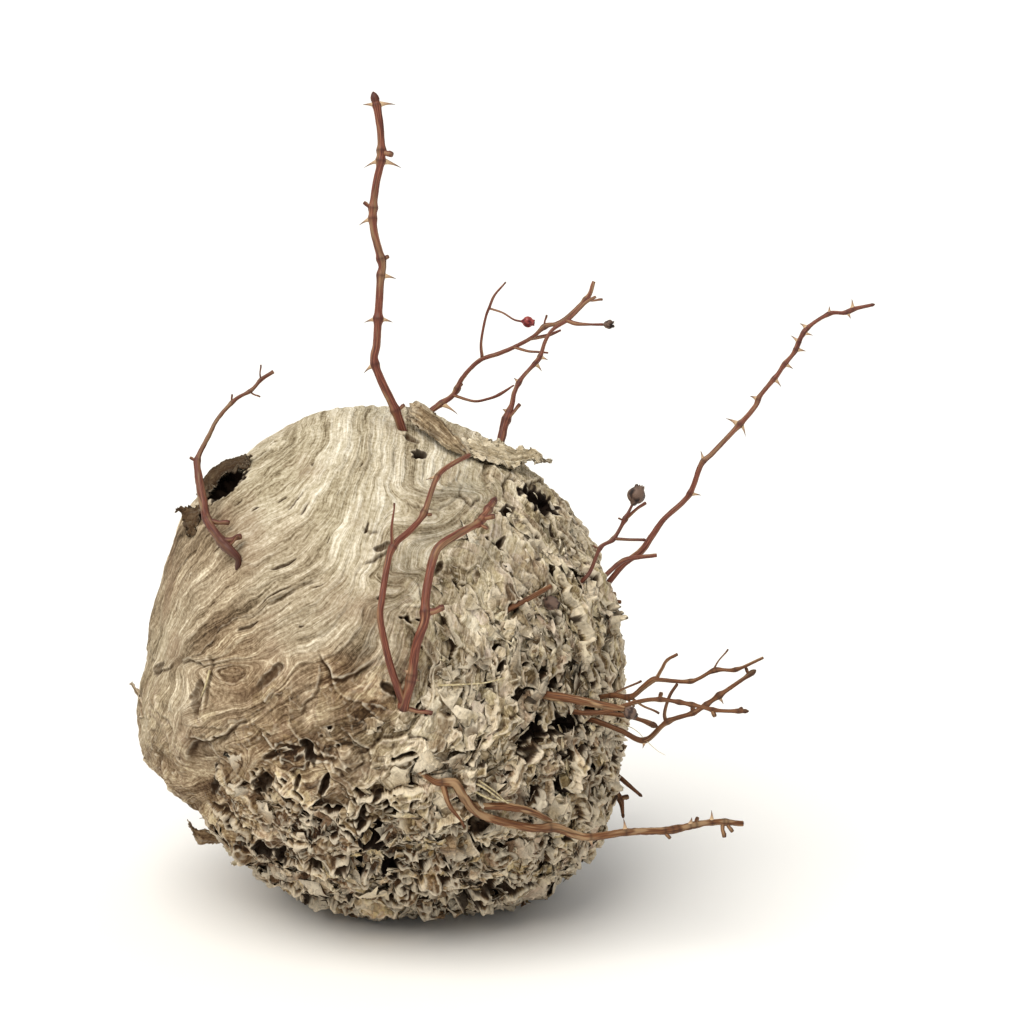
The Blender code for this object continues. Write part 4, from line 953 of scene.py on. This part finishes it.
def chewed_wood_paper():
    """Wood pulp chewed and laid by wasps, one mouthful a streak: quite matt, in bands of cream, tan and grey.

    The bands are 1 to 2 mm wide, as wide as a wasp lays pulp, and broader where one wood was worked for long.
    Recesses, low places and the low sides of scraps carry painted shade, and rises, edges and the raised
    sides of scraps a painted highlight. Holes, pits and slits carry a painted shadow of dark brown to black.
    """
    made, node, shader = new_finish("chewed_wood_paper", "#c3b598", 0.93, 1.45, 0.15)
    place = node("TexCoord").outputs["Object"]
    flow, crumple, darker_tone, hollow, sunk, dark, tone = numbers_of(
        node, "flow", "crumple", "darker_tone", "hollow", "sunk", "dark", "tone"
    )
    apart = node("SeparateXYZ", (place,))
    depth = node("Math", (apart.outputs["Y"], apart.outputs["Z"]), operation="ADD")
    layers = []
    for width, length, detail in ((8.0, 80.0, 2.0), (2.3, 36.0, 3.0), (0.9, 15.0, 2.0)):
        across = node("Math", (flow, 1 / width), operation="MULTIPLY")
        first = node("Math", (apart.outputs["X"], 1000 / length), operation="MULTIPLY")
        second = node("Math", (depth, 1000 / length), operation="MULTIPLY")
        spot = node("CombineXYZ", (across, first, second))
        layers.append(node("TexNoise", {"Vector": spot, "Scale": 1.0, "Detail": detail, "Roughness": 0.6}))
    mottle = node("TexNoise", {"Vector": place, "Scale": 500.0, "Detail": 3.0, "Roughness": 0.65})
    mixed = node("Math", (mottle, 0.85), operation="MULTIPLY")
    for layer, amount in zip((*layers, tone), (0.7, 0.9, 0.75, 0.7)):
        mixed = node("Math", (layer, amount, mixed), operation="MULTIPLY_ADD")
    bent = node("TexNoise", {"Vector": place, "Scale": 130.0, "Detail": 2.0}).outputs["Color"]
    bent = node("VectorMath", (bent, (0.013, 0.013, 0.013), place), operation="MULTIPLY_ADD")
    scraps, own = 0.0, None
    for size, amount in ((9.0, 1.0), (3.4, 0.4)):
        spot = node("VectorMath", (bent, (1000 / size, 1000 / size, 560 / size)), operation="MULTIPLY")
        cell = node("TexVoronoi", {"Vector": spot, "Scale": 1.0})
        gap = node("VectorMath", (spot, cell.outputs["Position"]), operation="SUBTRACT")
        slant = node("VectorMath", (cell.outputs["Color"], (2, 2, 2), (-1, -1, -1)), operation="MULTIPLY_ADD")
        out = node("VectorMath", (gap, slant), operation="DOT_PRODUCT")
        own = own or node("SeparateXYZ", (slant,))
        scraps = node("Math", (out, amount, scraps), operation="MULTIPLY_ADD")
    scraps = node("Math", (scraps, crumple), operation="MULTIPLY")
    varied = node("Math", (own, crumple), operation="MULTIPLY")
    varied = node("Math", (varied, 0.24, mixed), operation="MULTIPLY_ADD")
    shade = node("MapRange", {"Value": varied, "From Min": 1.53, "From Max": 2.35})
    turned = node("Math", (node("Math", (tone, 7.3), operation="MULTIPLY"),), operation="FRACT")
    fresh, worn, hues = (
        node("ValToRGB", (source,), list(zip(stops, codes.split())))
        for source, stops, codes in (
            (shade, (0.0, 0.25, 0.5, 0.75, 1.0), "#63563f #978a70 #bcb197 #d8cfb9 #f2eddd"),
            (shade, (0.0, 0.25, 0.5, 0.75, 1.0), "#2b1e14 #594532 #816c53 #a79377 #dccdae"),
            (turned, (0.0, 0.25, 0.6, 1.0), "#dfc8c2 #f8e8db #fff6e5 #f1e4bd"),
        )
    )
    # worn is a darker, browner ramp, mixed in by the darker tone that is set place by place
    colour = node("Mix", {"Factor": darker_tone, "A": fresh, "B": worn}, data_type="RGBA")
    colour = node("Mix", {"Factor": crumple, "A": colour, "B": hues}, data_type="RGBA", blend_type="MULTIPLY")
    patches = node("TexNoise", {"Vector": place, "Scale": 30.0, "Detail": 2.0})
    gap = node("Math", (layers[1], 0.5), operation="SUBTRACT")
    cracks = node("Math", (gap,), operation="ABSOLUTE")
    for source, start, end, most, code in (
        (patches, 0.54, 0.7, 0.35, "#8f755e"), (cracks, 0.016, 0.0, 0.35, "#5b4b39"),
        # painted shade on the low side of each tilted scrap, painted highlight on its raised side
        (scraps, -0.14, -0.6, 0.6, "#412d1c"), (scraps, 0.15, 0.6, 0.5, "#f0e4c8"),
        # painted shade in recesses (hollow) and in low-lying places (sunk)
        (hollow, -0.12, -1.1, 0.9, "#3a2718"), (sunk, -1.1, -4.6, 0.9, "#2e1e12"),
        # painted highlight on rises and edges, then painted shadow inside holes, pits and slits
        (hollow, 0.12, 1.0, 0.62, "#f3e6cd"), (dark, 0.03, 0.5, 0.75, "#43301f"),
        # painted shadow, almost black, deep inside holes and pits
        (dark, 0.45, 1.0, 1.0, "#1c120b"),
    ):
        colour = mixed_over(node, colour, source, start, end, most, code)
    bump = node("Bump", {"Height": mixed, "Strength": 0.8, "Distance": 0.0008})
    bump = node("Bump", {"Height": scraps, "Strength": 1.0, "Distance": 0.003, "Normal": bump})
    connect(shader, {"Base Color": colour, "Normal": bump})
    return made


def young_bark(name, codes, roughness):
    """Bark of a rose cane in its first years: smooth and waxy, with a soft sheen, and streaked lengthwise.

    The streaks are under a millimetre wide and about 13 mm long. Round knots it is dark, and where it flakes
    it is pale and dry.
    """
    deep, base, light, peeled = codes.split()
    made, node, shader = new_finish(name, base, roughness, 1.47, 0.35)
    along, around, aside, peel, knot = numbers_of(node, "along", "around", "aside", "peel", "knot")
    noises = []
    for length, count, detail in ((13.0, 3.2, 4.0), (26.0, 0.7, 3.0), (3.0, 3.4, 2.0)):
        run = node("Math", (along, 1 / length), operation="MULTIPLY")
        first = node("Math", (around, count), operation="MULTIPLY")
        second = node("Math", (aside, count), operation="MULTIPLY")
        spot = node("CombineXYZ", (first, second, run))
        noises.append(node("TexNoise", {"Vector": spot, "Scale": 1.0, "Detail": detail}))
    colour = node("ValToRGB", (noises[0],), ((0.3, deep), (0.5, base), (0.72, light)))
    colour = mixed_over(node, colour, noises[1], 0.52, 0.68, 0.55, peeled)
    colour = mixed_over(node, colour, peel, 0.45, 0.75, 0.7, peeled)
    shaded = node("Math", (knot, 0.6), operation="MULTIPLY")
    colour = node("Mix", {"Factor": shaded, "A": colour, "B": linear(deep)}, data_type="RGBA")
    height = node("Math", (noises[0], noises[2]), operation="ADD")
    bump = node("Bump", {"Height": height, "Strength": 0.6, "Distance": 0.0003})
    connect(shader, {"Base Color": colour, "Normal": bump})
    return made


def prickle_horn():
    """The dry horn of a prickle: pale straw at its foot, brown towards its point, with a dull sheen."""
    made, node, shader = new_finish("prickle_horn", "#cdb58e", 0.5, 1.5, 0.35)
    knot = numbers_of(node, "knot")[0]
    noise = node("TexNoise", {"Vector": node("TexCoord").outputs["Object"], "Scale": 900.0, "Detail": 2.0})
    mixed = node("Math", (noise, 0.3, knot), operation="MULTIPLY_ADD")
    stops = ((0.1, "#a3725a"), (0.25, "#cbb08c"), (0.6, "#a98a6c"), (1.0, "#54382e"))
    connect(shader, {"Base Color": node("ValToRGB", (mixed,), stops)})
    return made


def cut_wood():
    """The cut end of a cane: pale dry wood round a darker pith."""
    made, node, shader = new_finish("cut_cane_wood", "#c9a77c", 0.8, 1.45, 0.2)
    noise = node("TexNoise", {"Vector": node("TexCoord").outputs["Object"], "Scale": 1500.0, "Detail": 2.0})
    connect(shader, {"Base Color": node("ValToRGB", (noise,), ((0.35, "#9a7650"), (0.65, "#d9bd92")))})
    return made


def hip_skin(name, codes, roughness, gloss):
    """The leathery skin of a dried rose hip: wrinkled, with a sheen from its gloss.

    Its folds are painted darker as shade and its ridges paler as a painted highlight, and the pit at its
    crown is painted almost black as shadow.
    """
    deep, base, ridge = codes.split()
    made, node, shader = new_finish(name, base, roughness, 1.45, gloss)
    hollow, dark = numbers_of(node, "hollow", "dark")
    noise = node("TexNoise", {"Vector": node("TexCoord").outputs["Object"], "Scale": 700.0, "Detail": 3.0})
    mixed = node("Math", (noise, 0.8, hollow), operation="MULTIPLY_ADD")
    colour = node("ValToRGB", (mixed,), ((0.1, deep), (0.45, base), (1.0, ridge)))
    colour = node("Mix", {"Factor": dark, "A": colour, "B": linear("#1a0f0b")}, data_type="RGBA")
    bump = node("Bump", {"Height": mixed, "Strength": 0.6, "Distance": 0.0003})
    connect(shader, {"Base Color": colour, "Normal": bump})
    return made


def dry_straw():
    """Dry straw: a smooth stalk with a low sheen, pale yellow with greyer runs along it."""
    made, node, shader = new_finish("dry_straw", "#bfae82", 0.6, 1.48, 0.3)
    along, around = numbers_of(node, "along", "around")
    noise = node("TexNoise", {"Vector": node("CombineXYZ", (around, along)), "Scale": 0.35, "Detail": 4.0})
    colour = node("ValToRGB", (noise,), ((0.3, "#857655"), (0.5, "#bdae86"), (0.7, "#e6dcbc")))
    bump = node("Bump", {"Height": noise, "Strength": 0.5, "Distance": 0.0003})
    connect(shader, {"Base Color": colour, "Normal": bump})
    return made


def plain_floor():
    """Matt white board."""
    return new_finish("white_board", "#f4f4f2", 0.9, 1.45, 0.1)[0]


# Canes ------------------------------------------------------------------------------------------------

RING_GAP = 1.2
STEPS_TO_KNOT = 24
SIDES = 14
THIN_SIDES = 10
THORN_BASE = 2.1

# How each kind of tip narrows beyond the last ring: its radii and how far out they are, both as shares of the
# end's radius
TIP_SHAPES = {
    "worn": ((0.97, 0.82, 0.45), (0.2, 0.42, 0.52)),
    "cut": ((1.0, 0.93, 0.9, 0.4), (0.15, 0.3, 0.28, 0.2)),
    "bud": ((0.96, 1.12, 1.0, 0.66, 0.25), (0.3, 0.9, 1.6, 2.3, 2.8)),
}
# The canes that end in a bud or a cut. The others are worn round
TIPS = {
    "bud": """cane_top cane_right cane_front twig_back_up twig_right_side bundle_lower bundle_middle
        bundle_short stub_back stub_back_fork""".split(),
    "cut": "cane_low cane_left cane_back stub_right twig_front".split(),
}
# How much a cane's bark flakes, 0 to 1
ROUGH_BARK = {
    "cane_left": 0.75, "cane_low": 0.95, "strip_low": 1.0, "cane_right": 0.45, "cane_top": 0.25,
    "cane_back": 0.7, "cane_back_second": 0.6, "twig_back_low": 0.6, "twig_back_up": 0.5, "stub_right": 0.6,
    "stub_back": 0.6, "stub_back_fork": 0.4, "bundle_cane": 0.8, "bundle_upper": 0.5,
    "bundle_upper_twig": 0.9, "bundle_lower": 0.35,
}
# How dark and old a cane's bark is, at its root and further on, where it isn't quite fresh
OLD_BARK = {
    "twig_right": (0.6, 0.5), "twig_right_fork": (0.5, 0.5), "twig_right_side": (0.7, 0.7),
    "stub_side": (0.2, 0.1), "stub_back": (0.3, 0.2), "stub_back_fork": (0.3, 0.2), "cane_left": (1.5, 0.45),
    "bundle_lower_twig": (0.5, 0.4), "bundle_short": (0.4, 0.2), "bundle_lower": (0.3, 0.1),
    "bundle_upper": (0.3, 0.0),
}


class Route:
    """A cane's smooth line in places, in millimetres, read by rings at even steps along it."""

    def __init__(self, points):
        points = np.array(points)
        line = through(unshifted(points[:, :3]), STEPS_TO_KNOT * (len(points) - 1) + 1)
        reached = np.concatenate(([0.0], np.cumsum(np.linalg.norm(np.diff(line, axis=0), axis=1))))
        self.steps = np.linspace(0, reached[-1], max(5, int(reached[-1] / RING_GAP)) + 1)
        self.line = np.stack([np.interp(self.steps, reached, line[:, axis]) for axis in range(3)], axis=1)
        self.radii = np.interp(self.steps, reached[::STEPS_TO_KNOT], points[:, 3])
        self.heads = unit(np.gradient(self.line, axis=0))
        side = unit(np.cross(self.heads[0], (0.3, 0.2, 1.0)))
        self.sides = np.zeros_like(self.line)
        for ring, head in enumerate(self.heads):
            side = unit(side - head * (side @ head))
            self.sides[ring] = side

    def nearest(self, right, up):
        """The number of the ring that the front shows nearest to (right, up)."""
        return int(np.argmin(np.linalg.norm(shown(self.line) - (right, up), axis=1)))


def tube(name, route, finishes, rough=0.0, swells=(), tip="worn", sides=SIDES, seed=0, old=(0.0, 0.0)):
    """A cane's bark and its end. Swells are rings that something grows from and how much thicker they are."""
    cap_radii, cap_reach = map(np.array, TIP_SHAPES[tip])
    radii = route.radii.copy()
    knot = np.interp(route.steps / route.steps[-1], (0, 0.15, 0.4), (old[0], old[0], old[1]))
    for ring, size in swells:
        gap = route.steps - route.steps[ring]
        radii += size * np.exp(-((gap / 2.2) ** 2))
        knot = np.maximum(knot, np.exp(-((gap / 1.1) ** 2)))
    end, reach = radii[-1], radii[-1] * cap_reach
    steps = np.concatenate((route.steps, route.steps[-1] + reach))
    radii = np.concatenate((radii, end * cap_radii))
    knot = np.concatenate((knot, np.full(len(reach), 1.0 if tip == "bud" else 0.6)))
    line = np.concatenate((route.line, route.line[-1] + route.heads[-1] * reach[:, None]))
    heads, across = (
        np.concatenate((ways, np.repeat(ways[-1:], len(reach), 0))) for ways in (route.heads, route.sides)
    )
    turn = np.linspace(0, 2 * math.pi, sides, endpoint=False)
    around, aside = np.cos(turn), np.sin(turn)
    spokes = around[:, None] * across[:, None] + aside[:, None] * np.cross(heads, across)[:, None]
    rings = len(steps)
    spots = np.stack(np.broadcast_arrays(around, aside, steps[:, None] / 6), axis=-1).reshape(-1, 3)
    lumps, crust, flaked = (
        ripple(spots * scale, 1.0, seed + layer).reshape(rings, sides)
        for layer, scale in enumerate(((0.9, 0.9, 1), (2.2, 2.2, 2), (1.3, 1.3, 0.5)), 1)
    )
    grown = radii[:, None] * (1 + 0.07 * lumps + 0.17 * rough * crust)
    points = (line[:, None] + spokes * grown[..., None]).reshape(-1, 3)
    points = np.concatenate((points, line[:1] - heads[:1] * 0.3, line[-1:] + heads[-1:] * 0.08 * end))
    start = (np.arange(rings - 1) * sides)[:, None] + np.arange(sides)
    beside = np.roll(start, -1, axis=1)
    faces = np.stack((start, beside, beside + sides, start + sides), axis=-1).reshape(-1, 4)
    root = np.arange(sides)
    last = root + (rings - 1) * sides
    fans = np.concatenate((
        np.stack((np.roll(root, -1), root, np.full(sides, rings * sides)), axis=1),
        np.stack((last, np.roll(last, -1), np.full(sides, rings * sides + 1)), axis=1),
    ))
    numbers = {
        "along": np.concatenate((np.repeat(steps, sides), steps[[0, -1]])),
        "around": np.concatenate((np.tile(around, rings), (0, 0))),
        "aside": np.concatenate((np.tile(aside, rings), (0, 0))),
        "peel": np.concatenate((np.clip(rough * (0.45 + 1.2 * flaked), 0, 1).ravel(), (0, 0))),
        "knot": np.concatenate((np.repeat(knot, sides), (0, 1))),
    }
    finish_of_face = np.zeros(len(faces) + len(fans))
    if tip == "cut":
        finish_of_face[(rings - 3) * sides : len(faces)] = 2
        finish_of_face[len(faces) + sides :] = 2
    return sheet_mesh(name, world(points), faces, numbers, finishes, finish_of_face, fans)


def prickle_shape():
    """One prickle on its own axis, a millimetre high and wide: a flared foot and a fine hooked point."""
    levels = (0.06, 0.14, 0.25, 0.4, 0.58, 0.78)
    bpy.ops.mesh.primitive_cone_add(vertices=10, radius1=1, radius2=0.05, depth=1, location=(0, 0, 0.5))
    made = bpy.context.object
    bpy.ops.object.mode_set(mode="EDIT")
    for height in levels:
        bpy.ops.mesh.select_all(action="SELECT")
        bpy.ops.mesh.bisect(plane_co=(0, 0, height), plane_no=(0, 0, 1))
    put_down()
    made.data.transform(made.matrix_world)
    points = coords_of(made.data)
    height = np.clip(points[:, 2], 0, 1)
    slope = np.maximum(1 - 0.95 * height, 0.05)
    lean = np.interp(height, (0, *levels, 1), (1, 0.84, 0.66, 0.5, 0.36, 0.24, 0.14, 0.03))
    points[:, :2] *= (lean / slope)[:, None]
    corners = [list(face.vertices) for face in made.data.polygons]
    bpy.data.objects.remove(made)
    return points, corners


def prickle(shape, route, ring, offset, base, finishes):
    """A copy of the prickle on a cane. Its foot is long along the cane, and its point hooks back down it."""
    points, corners = shape
    root, head, radius = route.line[ring], route.heads[ring], route.radii[ring]
    out = unit(offset - head * (offset @ head))
    length = np.linalg.norm(offset) - 0.6 * radius
    height = points[:, 2:3]
    foot = root + out * 0.55 * radius
    spine = foot + (root + offset - foot) * height + head * (0.1 * length * height * (1 - height) * 2)
    placed = spine + np.cross(head, out) * points[:, :1] * base * 0.85 + head * points[:, 1:2] * base * 1.35
    mesh = bpy.data.meshes.new("prickle")
    mesh.from_pydata([tuple(point) for point in world(placed)], [], corners)
    give_numbers(mesh, {"along": points[:, 2] * 10, "knot": points[:, 2], "peel": 0 * points[:, 2]})
    for finish in finishes:
        mesh.materials.append(finish)
    mesh.polygons.foreach_set("material_index", np.ones(len(mesh.polygons), np.int32))
    mesh.shade_smooth()
    made = bpy.data.objects.new("prickle", mesh)
    bpy.context.scene.collection.objects.link(made)
    return made


def joined(parts):
    """One piece made of several: the first keeps its name."""
    bpy.ops.object.select_all(action="DESELECT")
    for part in parts:
        part.select_set(True)
    bpy.context.view_layer.objects.active = parts[0]
    if len(parts) > 1:
        bpy.ops.object.join()
    bpy.ops.object.select_all(action="DESELECT")
    return parts[0]


def spur_knots(root, offset, head, thick):
    """The knots of a short twig that bends a little back along its cane: each its place and its radius."""
    reach = np.linalg.norm(offset)
    bend = head * 0.08 * reach
    point = 0.8 if reach < 20 else 0.35
    return [
        (root, 1.4 * thick), (root + 0.5 * offset - bend, thick),
        (root + 0.85 * offset, (0.2 + point) * thick), (root + offset, point * thick),
    ]


def cane(name, shape, finishes, prickle_points):
    """A cane with its prickles and spurs, in the place of its solid."""
    points, thorns, spurs, knots = [*map(rows, shape.split("/")), [], [], []][:4]
    route = Route(points)
    seed = 40 + 3 * sum(map(ord, name)) % 50
    spin = np.random.default_rng(seed)
    swells = [
        (route.nearest(*growth[:2]), share * route.radii[0])
        for growths, share in ((thorns, 0.22), (spurs, 0.34), (knots, 0.4)) for growth in growths
    ]
    sides = THIN_SIDES if route.radii.max() < 1.6 else SIDES
    rough, old = ROUGH_BARK.get(name, 0.1), OLD_BARK.get(name, (0.0, 0.0))
    tip = next((tip for tip, names in TIPS.items() if name in names), "worn")
    parts = [tube(name + "_bark", route, finishes, rough, swells, tip, sides, seed, old)]
    for right, up, *offset in thorns:
        ring = route.nearest(right, up)
        base = THORN_BASE * spin.uniform(0.85, 1.1) * min(1.0, 0.45 + 0.26 * route.radii[ring])
        parts.append(prickle(prickle_points, route, ring, np.array(offset), base, finishes))
    for right, up, *offset in spurs:
        ring = route.nearest(right, up)
        thick = offset[3] if len(offset) > 3 else 0.45 * route.radii[ring]
        knots = spur_knots(route.line[ring], np.array(offset[:3]), route.heads[ring], thick)
        spur = Route([(*shown(place[None])[0], place[2], radius) for place, radius in knots])
        swell = (len(spur.steps) - 1, 0.35 * thick)
        parts.append(tube("spur", spur, finishes, 0.5, [swell], "worn", THIN_SIDES, seed + ring, old))
    made = joined(parts)
    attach(made, "root")
    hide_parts(name)


# Rose hips --------------------------------------------------------------------------------------------

# A hip is its place (right, up, near), its radius and the way to its stalk
HIPS = {
    "hip_red": ((89.6, 203, -19.5), 3.3, (-4, 0.6, -1)),
    "hip_right": ((154.7, 99, 54.5), 5.0, (-3, -8, 1)),
    "hip_front": ((103.5, 34.5, 105), 4.0, (-1, 0.4, -0.4)),
    "calyx": ((137.3, 201.5, -6.5), 2.3, (-4, 0, -1)),
    "gall": ((150.9, -31.6, 113.5), 3.6, (-3.8, 2.5, 1.5)),
}
SEPALS = 5


def hip(name, finish):
    """A dried hip: a wrinkled ball with a neck at its stalk and the stubs of its sepals round a pit."""
    place, radius, stalk_way = HIPS[name]
    bpy.ops.mesh.primitive_uv_sphere_add(segments=36, ring_count=26, radius=1)
    made = bpy.context.object
    made.name = name + "_dried"
    ball = coords_of(made.data)
    height = ball[:, 2]
    turn = np.arctan2(ball[:, 1], ball[:, 0])
    layer = 61 + len(name)
    wrinkles = folds(ball * (1, 1, 0.45), 0.42, layer) * 0.045 + ripple(ball, 0.9, layer + 1) * 0.09
    size = 1 + wrinkles * (1 - 0.6 * height ** 2)
    crown = ramp(height, 0.8, 0.93) * ramp(height, 0.995, 0.95)
    size += crown * (0.16 + 0.22 * np.cos(SEPALS * turn) ** 2) - 0.22 * ramp(height, 0.94, 1.0)
    size += 0.28 * ramp(height, -0.9, -1.0)
    if name == "calyx":
        size *= 1 + 0.5 * np.cos(SEPALS * turn) ** 4 * ramp(height, -0.2, 0.7)
    along = -unit(np.array(stalk_way, float))
    over = unit(np.cross(along, (0.1, 0.9, 0.3)))
    shaped = ball * size[:, None] * radius
    turned = shaped[:, :1] * over + shaped[:, 1:2] * np.cross(along, over) + shaped[:, 2:] * along
    made.data.vertices.foreach_set("co", world(unshifted(place) + turned).astype(np.float32).ravel())
    # hollow paints shade in the folds and a highlight on the ridges; dark paints the crown's pit as shadow
    give_numbers(made.data, {"hollow": wrinkles * 12, "dark": ramp(height, 0.93, 1.0)})
    made.data.materials.append(finish)
    made.data.shade_smooth()
    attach(made, "root")
    if name != "gall":
        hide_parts(name)


# Straws -----------------------------------------------------------------------------------------------

# A straw or fibre caught in the paper is its radius and its points: right, up, how far it stands off the skin
STRAWS = {
    "straw_in_pocket": (0.7, "-101.4 -6 1, -103 -12 3, -104.6 -17 3, -106.5 -22 1"),
    "straw_across": (0.6, "36 -15 2, 48 -14.6 4, 64 -13.4 5, 78 -9.6 5, 86 -6 3"),
    "fibre_low_a": (0.6, "56 -73 8, 64 -77 12, 74 -84 13, 86 -88 9"),
    "fibre_low_b": (0.75, "54 -76 8, 62 -81 11, 70 -84 13, 80 -84 9"),
    "fibre_low_c": (0.5, "60 -72 8, 70 -79 11, 78 -86 13, 90 -90 9"),
    "tendril": (0.3, "136 -37.3 4, 148 -39 9, 155 -42.5 12, 159.3 -47.2 14.6"),
    "hair": (0.22, "159.2 -47 14.6, 161 -48.7 15, 167 -54 16, 172 -57 18"),
    "hair_up": (0.25, "136 20 -28, 139 16 -27, 141 15.4 -26"),
}
SKIN_IN_VIEW = 128


def straw(name, finish):
    """A dry straw, fibre or hair, thinner towards its end."""
    radius, points = STRAWS[name]
    placed = []
    for number, (right, up, off) in enumerate(rows(points)):
        near = on_plain(*unit(np.array((right, up))) * min(math.hypot(right, up), SKIN_IN_VIEW))[2]
        placed.append((right, up, near + off, radius * (1 - 0.18 * number)))
    made = tube(name, Route(placed), [finish], tip="worn", sides=THIN_SIDES, seed=len(name))
    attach(made, "root")


# The stage --------------------------------------------------------------------------------------------

BOARD = 80


def stage():
    bpy.ops.mesh.primitive_plane_add(size=1)
    board = bpy.context.object
    board.name = "board"
    bpy.ops.object.mode_set(mode="EDIT")
    bpy.ops.mesh.select_all(action="SELECT")
    bpy.ops.transform.resize(value=(BOARD, BOARD, 1))
    put_down()
    board.data.materials.append(plain_floor())


def light():
    sky = bpy.data.worlds.new("soft_white_room")
    bpy.context.scene.world = sky
    sky.use_nodes = True
    room = sky.node_tree.nodes["Background"]
    connect(room, {"Color": linear("#ffffff"), "Strength": 0.55})
    wall = add(sky.node_tree, "Background", {"Color": linear("#ffffff"), "Strength": 1.2})
    seen = add(sky.node_tree, "LightPath").outputs["Is Camera Ray"]
    split = add(sky.node_tree, "MixShader", (seen, room, wall))
    connect(sky.node_tree.nodes["World Output"], {"Surface": split})
    bpy.ops.object.light_add(type="SUN", rotation=(math.radians(32), 0, math.radians(-38)))
    sun = bpy.context.object
    sun.name = "overhead_softbox"
    sun.data.energy = 2.9
    sun.data.angle = math.radians(55)
    sun.data.color = linear("#fffaf2")[:3]


def camera():
    bpy.ops.object.camera_add()
    made = bpy.context.object
    made.name = "front_camera"
    turned = Matrix([list(axis) for axis in zip(RIGHT, UP, NEAR)]).to_4x4()
    turned.translation = world((SIGHT[0], SIGHT[1], VIEW_DISTANCE))
    made.matrix_world = turned
    made.data.sensor_width = 36
    made.data.lens = 36 * VIEW_DISTANCE / VIEW_WIDTH
    made.data.clip_end = 60
    bpy.context.scene.camera = made
    bpy.context.scene.view_settings.view_transform = "Standard"

# The object -------------------------------------------------------------------------------------------

paper = chewed_wood_paper()
horn = prickle_horn()
wood = cut_wood()
red_bark = young_bark("red_rose_bark", "#3a1c15 #6c392a #9a634b #a08560", 0.5)
brown_bark = young_bark("dry_rose_bark", "#2c170c #643c21 #8b613c #a88a66", 0.65)
nest_skin(paper)
torn_scales(paper)
for name, lines in SHEETS.items():
    free_sheet(name, [rows(line) for line in lines.split("/")], paper)
red_skin = hip_skin("red_hip_skin", "#3a0d10 #6d1c20 #94403a", 0.35, 0.5)
dry_skin = hip_skin("dry_hip_skin", "#221814 #3f2f29 #6b564a", 0.55, 0.35)
hip("hip_red", red_skin)
for name in ("hip_right", "hip_front", "calyx", "gall"):
    hip(name, dry_skin)
straw_finish = dry_straw()
for name in STRAWS:
    straw(name, straw_finish)
prickle_points = prickle_shape()
for shapes, bark, slot in ((RED_CANES, red_bark, "red_bark"), (BROWN_CANES, brown_bark, "brown_bark")):
    for name, shape in shapes.items():
        cane(name, shape, [bark, horn, wood], prickle_points)

stage()
light()
camera()
